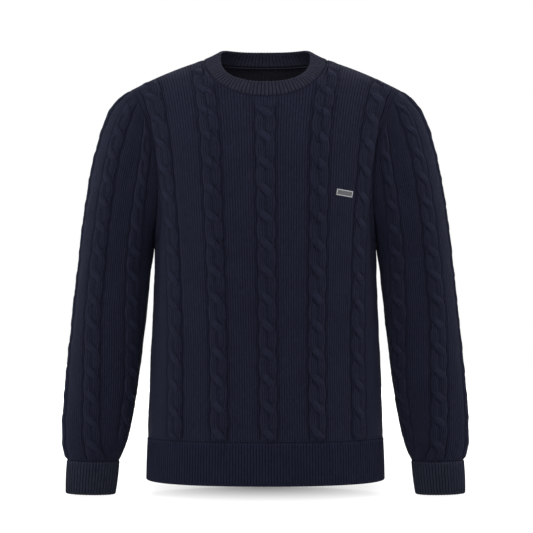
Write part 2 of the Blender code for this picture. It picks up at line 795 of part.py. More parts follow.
def build_band(name, rings, thick, collection, closed, first_normals=None):
    """A ribbed band through rings of points (lowest first). Each second point stands out."""
    wall = Wall()
    count = rings[0].shape[0]
    ridge = RIB_HEIGHT * (np.arange(count) % 2)
    rights = [np.roll(r, -1, axis=0) - np.roll(r, 1, axis=0) for r in rings]
    if not closed:
        rights = [np.gradient(r, axis=0) for r in rings]
    ups = np.gradient(np.array(rings), axis=0)
    normals = [unit(np.cross(right, up)) for right, up in zip(rights, ups)]
    if first_normals is not None:
        normals[0] = first_normals
    outer = [wall.line(r + n * ridge[:, None]) for r, n in zip(rings, normals)]
    some = np.arange(0, count, 3)
    if not closed:
        some = np.unique(np.append(some, count - 1))
    inner = [wall.line((r - n * thick)[some]) for r, n in zip(rings, normals)]
    at = np.arange(float(count))
    some_at = some.astype(float)
    if closed:
        outer = [line + [line[0]] for line in outer]
        inner = [line + [line[0]] for line in inner]
        at = np.append(at, count)
        some_at = np.append(some_at, count)
    for low, high in zip(outer[:-1], outer[1:]):
        wall.zip(high, at, low, at)
    for low, high in zip(inner[:-1], inner[1:]):
        wall.zip(low, some_at, high, some_at)
    wall.zip(outer[0], at, inner[0], some_at)
    wall.zip(inner[-1], some_at, outer[-1], at)
    if not closed:
        steps = np.arange(float(len(rings)))
        wall.rim([line[-1] for line in outer], [line[-1] for line in inner], steps)
        wall.rim([line[0] for line in inner], [line[0] for line in outer], steps)
    return make_object(name, wall, RIB_YARN, 0.88, collection)


# ---------------------------------------------------------------- ribbed bands


def hem_rings(side):
    """Level rings of half the hem, from the bottom edge to the seam."""
    panel = BodyPanel(side)
    rings = []
    for height in (HEM_EDGE, HEM_SEAM - SEAM_GAP):
        points, run = panel.quarter(height)
        half = along(points, run, np.linspace(0.0, run[-1], HEM_RIBS + 1))
        half[:, 0] *= -side
        other = half[:0:-1] * (-1.0, 1.0, 1.0)
        ring = np.concatenate([other, half])
        rings.append(panel.keep_side(ring))
    return rings


def cuff_rings(side):
    """Rings of a cuff, from its open edge to the seam, round to the right seen from outside."""
    rings = []
    for ring in (1.0, 0.0):
        count = CUFF_RIBS + 1
        front, _ = ring_half(CUFF, ring, "front", count)
        back, _ = ring_half(CUFF, ring, "back", count)
        points = np.concatenate([front[::-1], back[1:-1]])
        if side < 0:
            points = points[::-1] * (-1.0, 1.0, 1.0)
        rings.append(points)
    return rings


def neckband_rings(front_panel, back_panel):
    """Rings of the neckband, from the neck seam to the top edge, round from the front, and the
    normals of the panels along the seam, so that both edges there are cut alike."""
    angles = np.linspace(0.0, 2 * math.pi, 1441)
    front = np.cos(angles) > 0
    low_x, low = arc_of(angles, NECK_HALF, 1.0, NECK_POWER)
    top_x, top = arc_of(angles, TOP_HALF, 1.0, NECK_POWER)
    share = np.abs(low)
    depth, height = np.where(front, neck_point(-1, share), neck_point(1, share))
    seam = np.stack([low_x, depth, height], axis=1)
    top_y = -top * np.where(front, TOP_FRONT, TOP_BACK)
    edge = np.stack([top_x, top_y, smooth(TOP_EDGE, TOP_EDGE_COLUMNS, "height", top_y)], axis=1)
    count = 2 * NECK_RIBS
    even = []
    for line in (seam, edge):
        run = lengths(line)
        even.append(along(line, run, np.linspace(0.0, run[-1], count + 1)[:-1]))
    seam, edge = even
    ends, wales = np.array(WALE_ENDS).T[::-1]
    normals = np.zeros_like(seam)
    for k, (x, y, _) in enumerate(seam):
        panel = front_panel if y < 0 else back_panel
        across = math.copysign(np.interp(abs(x), ends, wales), -panel.side * x)
        normals[k] = panel.frame(across, [panel.length(across)])[1][0]
    normals = unit(np.roll(normals, 1, axis=0) + 2.0 * normals + np.roll(normals, -1, axis=0))
    off_seam = unit(np.cross(normals, np.roll(seam, -1, axis=0) - np.roll(seam, 1, axis=0)))
    return [seam + NECKBAND_GAP * off_seam, edge], unit(normals - NECKBAND_BEVEL * off_seam)


def build_badge(skin, collection):
    """A small tab that lies on the ground of the front, made from its points, moved out."""
    wall = Wall()
    turn = math.radians(BADGE_TURN)
    places = np.array([p for p in plain_places(skin.middles(), 2, ()) if 80.0 < p < 140.0])
    rows = plain_rows(skin, places[0], skin.length(places[0]) - skin.border)
    low = np.searchsorted(rows, BADGE_UP) - 1
    corners = np.array([skin.place(place, rows[low:low + 2], np.zeros(2)) for place in places])
    outward = unit(np.cross(corners[2, 0] - corners[1, 0], corners[1, 1] - corners[1, 0]))
    across = np.array([-BADGE_WIDTH / 2, places[1] - BADGE_ACROSS, places[2] - BADGE_ACROSS,
                       BADGE_WIDTH / 2])
    up = np.array([-BADGE_HEIGHT / 2, BADGE_HEIGHT / 2])
    sheets = []
    for out in (SEAM_GAP + BADGE_THICK, SEAM_GAP):
        lines = []
        for v in up:
            line = []
            for u in across:
                place = BADGE_ACROSS + u * math.cos(turn) + v * math.sin(turn)
                height = BADGE_UP - u * math.sin(turn) + v * math.cos(turn)
                share = (height - rows[low]) / (rows[low + 1] - rows[low])
                column = corners[:, 0] * (1.0 - share) + corners[:, 1] * share
                line.append(along(column, places, place) + out * outward)
            lines.append(wall.line(line))
        sheets.append(lines)
    front, back = sheets
    for low, high in zip(front[:-1], front[1:]):
        wall.rim(high, low, across)
    for low, high in zip(back[:-1], back[1:]):
        wall.rim(low, high, across)
    wall.rim(front[0], back[0], across)
    wall.rim(back[-1], front[-1], across)
    wall.rim([r[-1] for r in front], [r[-1] for r in back], up)
    wall.rim([r[0] for r in back], [r[0] for r in front], up)
    return make_object("chest_badge", wall, TAB_THREAD, 0.7, collection)


def armhole_lines(front, back):
    """The armhole seam for the sleeves: each panel's edge, with the seam's gap."""
    lines = {}
    for name, panel in (("front", front), ("back", back)):
        points, across, normal = panel.armhole(Sleeve.count)
        swing = np.linspace(0.0, math.pi / 2, Sleeve.count)[:, None]
        lines[name] = points + ARMHOLE_GAP * (np.cos(swing) * across + np.sin(swing) * normal)
    middle_top = (lines["front"][0] + lines["back"][0]) / 2
    middle_low = (lines["front"][-1] + lines["back"][-1]) / 2
    for line in lines.values():
        line[0] = middle_top
        line[-1] = middle_low
    return lines


def main():
    for old in list(bpy.data.objects):
        bpy.data.objects.remove(old)
    collection = bpy.data.collections.new(COLLECTION)
    bpy.context.scene.collection.children.link(collection)

    front = BodyPanel(-1)
    back = BodyPanel(1)
    build_panel("front_panel", front, collection)
    build_panel("back_panel", back, collection)
    armhole = armhole_lines(front, back)
    build_sleeve("left_sleeve", Sleeve(1, armhole), collection)
    build_sleeve("right_sleeve", Sleeve(-1, armhole), collection)
    build_band("front_hem_band", hem_rings(-1), BAND_WALL, collection, False)
    build_band("back_hem_band", hem_rings(1), BAND_WALL, collection, False)
    build_band("left_cuff", cuff_rings(1), BAND_WALL, collection, True)
    build_band("right_cuff", cuff_rings(-1), BAND_WALL, collection, True)
    rings, normals = neckband_rings(front, back)
    build_band("neckband", rings, NECKBAND_WALL, collection, True, normals)
    build_badge(front, collection)


main()
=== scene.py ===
"""The yarn, the stitches and the studio for a crew neck pullover in navy cable knit.

Sizes are in millimetres until a mesh is made, in the frame of the CAD model: +X is the wearer's
left, the front faces -Y, +Z is up, and the origin lies between the two high shoulder points. The
tables and the run of the wales are those of the model, and the knit here is made along them.
"""

import math

import bpy
import numpy as np
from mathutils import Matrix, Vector

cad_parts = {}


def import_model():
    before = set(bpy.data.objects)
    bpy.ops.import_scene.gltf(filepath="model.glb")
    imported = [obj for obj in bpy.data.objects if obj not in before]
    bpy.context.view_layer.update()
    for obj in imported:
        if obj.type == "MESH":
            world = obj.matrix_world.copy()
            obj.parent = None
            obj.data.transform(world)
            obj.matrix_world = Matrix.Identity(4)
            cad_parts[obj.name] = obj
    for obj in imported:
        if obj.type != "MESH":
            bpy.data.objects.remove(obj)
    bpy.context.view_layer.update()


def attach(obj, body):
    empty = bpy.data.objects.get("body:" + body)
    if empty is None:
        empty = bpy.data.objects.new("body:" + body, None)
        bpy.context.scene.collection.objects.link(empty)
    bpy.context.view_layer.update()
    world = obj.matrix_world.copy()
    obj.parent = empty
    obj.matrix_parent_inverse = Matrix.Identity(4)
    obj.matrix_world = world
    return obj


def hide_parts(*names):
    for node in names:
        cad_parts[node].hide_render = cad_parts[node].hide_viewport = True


MM = 0.001

# ---------------------------------------------------------------- the model's own sizes

WALL = 2.4
BAND_WALL = 2.8
NECKBAND_WALL = 3.2
SEAM_GAP = 0.3
ARMHOLE_GAP = 0.42

# Body: each row is a level section, a superellipse with its own front and back depth. The fan is
# how far the wales spread sideways there, the drift how far those of the front lean to the
# wearer's left, and the spread how much further the outermost cables lie.
SECTION_POWER = 2.35
TORSO_COLUMNS = ("height", "half_width", "front_depth", "back_depth", "fan", "drift", "spread")
TORSO = (
    (-656.0, 186.4, 122.0, 117.0, 1.000, 6.0, 0.0),
    (-597.0, 184.3, 121.0, 116.0, 1.000, 5.4, 0.0),
    (-502.0, 181.5, 121.0, 112.0, 1.000, 4.3, 0.0),
    (-440.0, 178.5, 122.5, 110.0, 1.000, 3.5, 0.0),
    (-377.0, 175.7, 126.0, 112.0, 1.020, 2.7, 0.0),
    (-314.0, 173.6, 130.0, 117.0, 1.040, 1.9, 0.0),
    (-284.0, 173.6, 131.0, 120.0, 1.050, 1.5, 0.8),
    (-220.0, 176.5, 130.0, 124.0, 1.075, 0.7, 2.9),
    (-165.0, 184.0, 124.0, 125.0, 1.095, 0.0, 3.8),
)
HEM_EDGE = -656.0
HEM_SEAM = -590.0
UNDERARM = -284.0
YOKE = -165.0
ARMHOLE_INSET = 64.0

# Shoulder seam, from the high shoulder point out to the shoulder tip
NECK_HALF = 97.0
TIP_HALF = 211.0
SHOULDER_SLOPE = 0.30
SHOULDER_CURVE = 0.0010
ARCH_START = 0.42
ARCH_END = 0.28

# Neck seam: depth from the shoulder line with the power of its rise, slope at the high point,
# drop at the middle, and how steeply the cloth meets the middle, the high point and the tip
NECK_POWER = 2.2
NECK_COLUMNS = ("side", "depth", "power", "slope", "drop", "middle", "high", "tip")
NECK = (
    (-1, 86.0, 0.85, 0.30, 64.0, 73.0, 17.0, 9.0),
    (1, 62.0, 1.0, 0.03, 6.0, 52.0, 2.0, 9.0),
)
LIFT_POWER = 1.1
HIGH_POINT_REACH = 14.0

# Where a wale of the body ends along the neck and shoulder seams
WALE_END_COLUMNS = ("wale", "end")
WALE_ENDS = (
    (0.0, 0.0),
    (30.0, 36.5),
    (50.0, 62.0),
    (60.0, 76.5),
    (66.0, 86.5),
    (72.5, 97.0),
    (89.5, 120.0),
    (120.0, 155.0),
    (147.0, 186.0),
    (161.5, 202.0),
)
LAST_WALE = 161.5
OUTER_CABLE = 147.0
SIDE_WALE = 245.0

# Cables: the middle wale of each, and how far up its first crossing lies
BODY_CABLES = ((-147.0, 3.0), (-75.0, 12.0), (0.0, 12.0), (75.0, 12.0), (147.0, 1.0))
SLEEVE_CABLES = ((-130.0, 27.0), (-64.0, 27.0), (0.0, 27.0), (64.0, 27.0), (130.0, 27.0))
BODY_CROSSING = 41.1
SLEEVE_CROSSING = 37.6
CABLE_EDGE = 13.0
CABLE_FADE = 7.0

# Sleeve: each row is a ring from its outer line to its inner line. Keep is the share of the
# armhole's own bend that the ring still has.
RING_COLUMNS = (
    "ring", "outer_x", "outer_z", "inner_x", "inner_z", "front", "back", "middle", "keep",
)
RINGS = (
    (0, 211.0, -47.2, 173.9, -284.0, 61.0, 61.0, 0.0, 1.00),
    (1, 222.4, -56.0, 174.5, -288.5, 62.5, 62.5, 0.0, 0.80),
    (2, 235.4, -69.5, 174.9, -293.5, 63.5, 63.5, 0.0, 0.58),
    (3, 250.0, -95.0, 175.3, -299.0, 64.0, 64.0, 0.0, 0.36),
    (4, 261.3, -130.5, 175.8, -305.0, 64.0, 64.0, 0.0, 0.18),
    (5, 269.6, -165.0, 176.5, -312.0, 63.5, 63.0, 0.0, 0.07),
    (6, 278.6, -215.0, 178.0, -322.0, 62.0, 62.0, 0.0, 0.00),
    (7, 286.0, -267.0, 180.6, -339.0, 60.0, 61.0, 0.0, 0.00),
    (8, 296.8, -363.0, 184.3, -378.0, 56.0, 58.0, -1.0, 0.00),
    (9, 303.3, -426.0, 191.2, -440.0, 50.0, 52.0, -4.0, 0.00),
    (10, 309.2, -488.0, 198.8, -502.0, 43.0, 45.0, -8.0, 0.00),
    (11, 312.3, -521.0, 203.4, -534.0, 39.5, 41.0, -10.0, 0.00),
    (12, 314.7, -553.0, 209.0, -565.0, 36.0, 37.0, -12.0, 0.00),
    (13, 315.2, -586.0, 216.4, -597.0, 33.0, 34.0, -14.0, 0.00),
    (14, 313.8, -607.0, 222.0, -612.0, 31.0, 31.5, -15.0, 0.00),
    (15, 309.5, -625.5, 228.5, -626.5, 28.0, 28.5, -15.5, 0.00),
)
RING_POWER = 2.1
SEAM_WALE = 184.0
STEADY_WALE = 80.0
LAST_SLEEVE_WALE = 144.5
UNDERARM_SHARE = 0.93
# How far round the half ring three wales lie, from the armhole down to where they run level
# distances apart
UPPER_WALES = (64.0, 130.0, LAST_SLEEVE_WALE)
UPPER_COLUMNS = ("ring", "second", "third", "last")
UPPER = (
    (0, 0.100, 0.270, 0.410),
    (1, 0.130, 0.400, 0.520),
    (2, 0.175, 0.530, 0.630),
    (3, 0.230, 0.620, 0.705),
    (4, 0.280, 0.665, 0.745),
    (5, 0.318, 0.682, 0.760),
    (6, 0.346, 0.688, 0.765),
    (7, 0.364, 0.690, 0.765),
    (8, 0.368, 0.715, 0.795),
)
CUFF = (
    (0, 309.3, -625.9, 228.7, -626.9, 28.0, 28.5, -15.5, 0.0),
    (1, 311.4, -677.5, 235.0, -679.0, 26.0, 26.0, -16.0, 0.0),
)

# Neckband: its top edge, by how far back a point lies
TOP_HALF = 70.5
TOP_FRONT = 80.0
TOP_BACK = 55.0
TOP_EDGE_COLUMNS = ("depth", "height")
TOP_EDGE = (
    (-80.0, -40.7),
    (-55.0, -27.5),
    (-30.0, -12.5),
    (-10.0, 0.5),
    (0.0, 8.0),
    (10.0, 14.0),
    (22.0, 17.5),
    (55.0, 18.2),
)
NECKBAND_GAP = 0.5

# Soft folds: centre across and up the piece, half sizes, and depth (a ridge is positive)
FOLD_COLUMNS = ("across", "up", "half_across", "half_up", "depth")
BODY_FOLDS = (
    (196.0, 300.0, 13.0, 75.0, -3.5),
    (-196.0, 292.0, 12.0, 85.0, -3.8),
    (172.0, 372.0, 11.0, 46.0, 1.8),
    (-172.0, 365.0, 11.0, 50.0, 1.8),
    (118.0, 168.0, 16.0, 90.0, -1.6),
    (-112.0, 120.0, 15.0, 80.0, -1.5),
    (38.0, 250.0, 15.0, 110.0, -1.2),
    (-36.0, 330.0, 15.0, 95.0, -1.3),
)
SLEEVE_FOLDS = (
    (-106.0, 445.0, 10.0, 62.0, -4.2),
    (-84.0, 455.0, 9.0, 55.0, 1.6),
    (106.0, 440.0, 10.0, 66.0, -3.8),
    (-96.0, 262.0, 20.0, 26.0, -2.6),
    (-99.0, 318.0, 18.0, 22.0, -2.0),
    (92.0, 296.0, 20.0, 26.0, -2.2),
    (33.0, 92.0, 13.0, 40.0, -1.4),
    (-34.0, 64.0, 12.0, 34.0, -1.6),
)

# Small woven tab on the wearer's left chest
BADGE_ACROSS = 113.8
BADGE_UP = 377.5
BADGE_WIDTH = 27.0
BADGE_HEIGHT = 10.5
BADGE_THICK = 0.9
BADGE_TURN = 8.0
BADGE_RIM = 0.35
BADGE_ROUND = 0.7
OVERLOCK_AT = 0.75
OVERLOCK_HALF = 0.45
OVERLOCK_HEIGHT = 0.16

# ---------------------------------------------------------------- the knit

WALE = 3.8
COURSE = 2.9
# A cable is two strands of four wales. The one from the lower right always crosses in front.
STRAND_HALF = 7.0
STRAND_SWING = 5.9
STRAND_WALE = 3.4
STRAND_HEIGHT = 3.3
FRONT_LIFT = 1.9
BACK_DIP = 2.0
CROSSING_SHARE = 0.64
PAD_HEIGHT = 2.0
PAD_BLEND = 0.3
PAD_SQUARE = 6
# How square a strand's section is, how much wider it gets where it crosses in front, and the low
# join that shows between two parted strands
STRAND_SQUARE = 2.4
FRONT_SWELL = 0.22
JOIN_HEIGHT = 0.82 * STRAND_HEIGHT
JOIN_HALF = 3.4
PARTED_FROM = 0.27
PARTED_OVER = 0.2
# The outermost cable of each sleeve is pressed flatter, and the outline stays smooth
PRESSED_HEIGHT = 2.3
# The purl wale on each side of a cable sinks into a narrow groove
GROOVE_AT = 13.9
GROOVE_HALF = 0.95
GROOVE_SWAY = 0.6
GROOVE_DEPTH = 1.7
# Painted light on the yarn's colour, 1 on plain knit: the painted shade that creases between
# strands, pockets beside a crossing, grooves and seams take away, and the painted highlight on a
# strand's top
CREASE_SHADE = 0.95
CREASE_HALF = 0.6
CREASE_LEAST = 0.4
CREASE_TOP = 4.2
CREASE_OVER = 0.9
POCKET_SHADE = 0.7
POCKET_HALF = 0.5
POCKET_REACH = 11.0
POCKET_PHASE = 0.3
RIDGE_LIGHT = 0.6
RIDGE_FROM = 3.4
RIDGE_OVER = 1.4
GROOVE_SHADE = 0.5
SEAM_SHADE = 0.2
SIDE_SHADE = 0.15
LIGHT_RANGE = (0.1, 1.5)
PIECE_LIGHT_RANGE = (0.1, 1.35)
# Unevenness of the cloth as height and length of its waves, and how much the cables' height
# varies over what length
UNEVEN = ((0.45, 42.0), (0.16, 11.0))
CABLE_VARIES = 0.06
CABLE_VARY_LENGTH = 60.0
CALM_EDGE = 12.0
# Columns of the fine mesh over half a cable, and the longest steps elsewhere
CABLE_COLUMNS = (0.0, 1.05, 2.1, 3.15, 4.2, 5.25, 6.3, 7.35, 8.4, 9.45, 10.5, 11.4, 12.2, 12.9,
                 13.5, 14.2, 15.3)
GROUND_STEP = 4.6
EDGE_STEP = 4.2
UNDERARM_STEP = 2.1
BODY_ROWS = 350
SLEEVE_ROWS = 300
INNER_EVERY = 4

HEM_RIBS = 112
CUFF_RIBS = 46
NECK_RIBS = 94
RIB_COLUMNS = 8
BAND_STEP = 2.4
INNER_BAND_STEP = 5.0
RIB_TOP = 1.25
RIB_VALLEY = -0.75
RIB_ROUND = 0.62
# Painted shade in the valleys between ribs
RIB_SHADE = 0.25
# Ribs on the inside of a band and over its folded edge, as shares of those outside, and how far
# up a band those inside may start to flatten
INSIDE_RIBS = 0.8
FOLD_OUTER_RIBS = 0.7
FOLD_INNER_RIBS = 0.55
EDGE_RIBS = 0.35
CALM_FROM = 0.35
CALM_OVER = 0.3
# How much lighter the inside of a band is painted, and the range of a band's painted light
INSIDE_LIGHT = 0.25
BAND_LIGHT_RANGE = (0.12, 1.4)
BAND_WAVE = 0.25
BAND_WAVE_LENGTH = 90.0
# The linking row of a band: length of a link, distance from the seam, half width, height, and
# how much painted highlight its links and painted shade its gaps get. Beside it the band dips into
# the seam, with painted shade in the dip.
LINK = 5.6
LINK_AT = 2.2
LINK_HALF = 1.1
LINK_HEIGHT = 0.7
LINK_LIGHT = 0.7
LINK_SHADE = 0.25
LINK_FLATTENS = 0.5
DIP_HALF = 0.9
DIP_DEPTH = 0.2
DIP_SHADE = 0.15
DIP_FLATTENS = 0.6

SEAM_DIP = 0.5
FOOT_DIP_SHARE = 0.4
SEAM_REACH = 1.9
UNDERARM_REACH = 1.4
# The cords in a seam: depth under the surface, half width, painted light (the cord in the gap
# painted darker as shade), and if it shows on the inside
SEAM_CORDS = ((1.25, 1.1, 0.75, False), (2.9, 1.3, 1.0, True))
SEAM_CORD_STEP = 3.0
# Cables lie flatter as they reach the shoulders
TOP_FADE = 24.0
TOP_STAYS = 0.25


def smooth(table, columns, name, at):
    """A named column of a table, on a smooth curve through its rows, at values of the first."""
    rows = np.array(table, float)
    xs = rows[:, 0]
    ys = rows[:, columns.index(name)]
    at = np.clip(np.asarray(at, float), xs[0], xs[-1])
    slopes = np.gradient(ys, xs)
    k = np.clip(np.searchsorted(xs, at) - 1, 0, len(xs) - 2)
    step = xs[k + 1] - xs[k]
    t = (at - xs[k]) / step
    return (
        (2 * t**3 - 3 * t**2 + 1) * ys[k]
        + (t**3 - 2 * t**2 + t) * step * slopes[k]
        + (3 * t**2 - 2 * t**3) * ys[k + 1]
        + (t**3 - t**2) * step * slopes[k + 1]
    )


def straight(table, columns, name, at):
    """A named column of a table, on straight lines between its rows."""
    rows = np.array(table, float)
    return np.interp(at, rows[:, 0], rows[:, columns.index(name)])


def ease(t):
    t = np.clip(t, 0.0, 1.0)
    return t * t * (3.0 - 2.0 * t)


def hump(off, half):
    """A soft hump, 1 at its middle."""
    return np.exp(-((off / half) ** 2))


def lengths(points):
    """How far along a line each of its points lies."""
    steps = np.linalg.norm(np.diff(points, axis=0), axis=1)
    return np.concatenate([[0.0], np.cumsum(steps)])


def along(points, run, at):
    """Points of a line at given lengths along it."""
    return np.stack([np.interp(at, run, points[:, axis]) for axis in range(3)], axis=-1)


def unit(vectors):
    return vectors / np.maximum(np.linalg.norm(vectors, axis=-1, keepdims=True), 1e-9)


def arc_of(angles, half, depth, power):
    """Points of a superellipse from its depth axis (angle 0) to its width axis."""
    return (
        half * np.abs(np.sin(angles)) ** (2.0 / power) * np.sign(np.sin(angles)),
        depth * np.abs(np.cos(angles)) ** (2.0 / power) * np.sign(np.cos(angles)),
    )


# ---------------------------------------------------------------- the shapes of the cloth


def shoulder_height(x):
    out = x - NECK_HALF
    return -SHOULDER_SLOPE * out - SHOULDER_CURVE * out * out


def neck(side, name):
    row = NECK[0] if side < 0 else NECK[1]
    return row[NECK_COLUMNS.index(name)]


def neck_point(side, share):
    """Depth and height of the neck seam, from its high point (share 0) to its middle (1)."""
    full = neck(side, "depth")
    depth = full * share ** neck(side, "power")
    bend = (neck(side, "drop") / full - neck(side, "slope")) / full
    return side * depth, -depth * (neck(side, "slope") + bend * depth)


class Skin:
    """A sheet of wales. Across is signed towards the right of someone who looks at its outside,
    and up runs along each wale from the lower seam."""

    step = 0.5

    def __init__(self):
        self.kept = {}

    def wale(self, across):
        key = round(float(across), 6)
        if key not in self.kept:
            points = self.route(key)
            self.kept[key] = (points, lengths(points))
        return self.kept[key]

    def length(self, across):
        return self.wale(across)[1][-1]

    def frame(self, across, up):
        """Points of the plain surface and its outward normals at heights up along one wale."""
        up = np.atleast_1d(np.asarray(up, float))
        points, run = self.wale(across)
        here = along(points, run, up)
        above = along(points, run, np.minimum(up + self.step, run[-1]))
        below = along(points, run, np.maximum(up - self.step, 0.0))
        rise = unit(above - below)
        right = np.zeros_like(here)
        for shift in (-self.step, self.step):
            if abs(across + shift) <= self.limit:
                other, other_run = self.wale(across + shift)
                at = up / run[-1] * other_run[-1]
                for _ in range(2):
                    miss = np.sum((along(other, other_run, at) - here) * rise, axis=1)
                    at = np.clip(at - miss, 0.0, other_run[-1])
                beside = along(other, other_run, at) - here
                miss = np.abs(np.sum(beside * rise, axis=1))
                right += np.sign(shift) * beside / (0.05 + miss)[:, None]
        return here, unit(np.cross(right, rise))

    def fold(self, across, up):
        """How far the soft folds move the cloth out or in."""
        total = np.zeros(np.broadcast(across, up).shape)
        name = FOLD_COLUMNS.index
        for row in self.folds:
            d_across = (across - row[name("across")]) / row[name("half_across")]
            d_up = (up - row[name("up")]) / row[name("half_up")]
            total += row[name("depth")] * np.exp(-0.5 * (d_across**2 + d_up**2))
        return total

    def keep_side(self, points):
        return points


class BodyPanel(Skin):
    """The front (side -1) or the back (side 1) of the body."""

    limit = SIDE_WALE
    cables = BODY_CABLES
    pressed = {}
    crossing = BODY_CROSSING
    folds = BODY_FOLDS

    def __init__(self, side):
        super().__init__()
        self.side = side
        self.heights = np.linspace(HEM_SEAM, YOKE, 64)
        self.quarters = [self.quarter(height) for height in self.heights]
        self.fan = smooth(TORSO, TORSO_COLUMNS, "fan", self.heights)
        self.drift = smooth(TORSO, TORSO_COLUMNS, "drift", self.heights) * (side < 0)
        self.spread = smooth(TORSO, TORSO_COLUMNS, "spread", self.heights)

    def quarter(self, height):
        """A level section from the middle to the side, with its running length."""
        depth_name = "front_depth" if self.side < 0 else "back_depth"
        half = smooth(TORSO, TORSO_COLUMNS, "half_width", height)
        depth = smooth(TORSO, TORSO_COLUMNS, depth_name, height)
        x, y = arc_of(np.linspace(0.0, math.pi / 2, 241), half, depth, SECTION_POWER)
        points = np.stack([x, self.side * np.abs(y), np.full_like(x, height)], axis=1)
        return points, lengths(points)

    def edge(self, height, quarter_length):
        """Running length of the panel's side edge: the side seam, then the armhole."""
        rise = (YOKE - height) / (YOKE - UNDERARM)
        inset = ARMHOLE_INSET * math.sqrt(max(0.0, 1.0 - min(rise, 1.0) ** 2))
        return quarter_length - inset

    def route(self, across):
        lower = []
        levels = zip(self.heights, self.fan, self.drift, self.spread, self.quarters)
        for height, fan, drift, spread, (points, run) in levels:
            moved = across + drift * (1.0 - (across / SIDE_WALE) ** 2)
            inner, beyond = self.shares(moved)
            length = inner * fan + spread * (inner / OUTER_CABLE) ** 4
            last = LAST_WALE * fan + spread * (LAST_WALE / OUTER_CABLE) ** 4
            length += beyond * (self.edge(height, run[-1]) - last)
            lower.append(along(points, run, length) * (math.copysign(1.0, moved), 1.0, 1.0))
        lower = np.array(lower)
        start = lower[-1]
        inner, beyond = self.shares(across)
        end, lift = self.end_of(inner, beyond)
        span = np.linalg.norm(end - start * (math.copysign(1.0, across), 1.0, 1.0))
        leave = unit(lower[-1] - lower[-2])
        free = 1.0 - math.exp(-(((end[0] - NECK_HALF) / HIGH_POINT_REACH) ** 2))
        lean = 0.9 * free * (end[0] - abs(start[0])) / span
        arrive = unit(np.array([lean, -self.side * math.cos(lift), math.sin(lift)]))
        end[0] = math.copysign(end[0], across)
        arrive[0] *= math.copysign(1.0, across)
        first = start + ARCH_START * span * leave
        second = end - ARCH_END * span * arrive
        t = np.linspace(0.0, 1.0, 37)[1:, None]
        upper = (
            (1 - t) ** 3 * start
            + 3 * t * (1 - t) ** 2 * first
            + 3 * t**2 * (1 - t) * second
            + t**3 * end
        )
        points = np.concatenate([lower, upper])
        points[:, 0] *= -self.side
        return points

    def shares(self, across):
        """The part of a wale's place that follows the fan, and its share of the rest."""
        wale = abs(across)
        beyond = max(0.0, (wale - LAST_WALE) / (SIDE_WALE - LAST_WALE))
        return min(wale, LAST_WALE), beyond

    def end_of(self, inner, beyond):
        """Where a wale meets the neck or shoulder seam, and at what angle above level."""
        x = straight(WALE_ENDS, WALE_END_COLUMNS, "end", inner)
        x = x + beyond * (TIP_HALF - x)
        high, tip = neck(self.side, "high"), neck(self.side, "tip")
        if x < NECK_HALF:
            share = (1.0 - (x / NECK_HALF) ** NECK_POWER) ** (1.0 / NECK_POWER)
            y, z = neck_point(self.side, share)
            lift = high + (neck(self.side, "middle") - high) * share**LIFT_POWER
        else:
            y, z = 0.0, shoulder_height(x)
            lift = high + (tip - high) * (x - NECK_HALF) / (TIP_HALF - NECK_HALF)
        return np.array([x, y, z]), math.radians(lift)

    def keep_side(self, points):
        """The front stays in front of the side and shoulder seams, and the back behind them."""
        points[..., 1] = self.side * np.maximum(self.side * points[..., 1], SEAM_GAP / 2)
        return points

    def underarm_at(self):
        """How far up the side edge the armhole starts."""
        points, run = self.wale(SIDE_WALE)
        return float(np.interp(UNDERARM, points[: len(self.heights), 2], run[: len(self.heights)]))

    def armhole(self, count):
        """The +X armhole edge from the shoulder tip to the underarm, evenly spaced, with the
        directions out of the panel across the seam and out of the cloth."""
        edge = -self.side * SIDE_WALE
        top = self.length(edge)
        up = np.linspace(top, self.underarm_at(), count)
        points, normal = self.frame(edge, up)
        upward = unit(np.gradient(points, axis=0)) * -1.0
        across = unit(np.cross(upward, normal)) * -self.side
        return points, across, normal

    def squeeze(self, places, up):
        return np.ones_like(up)


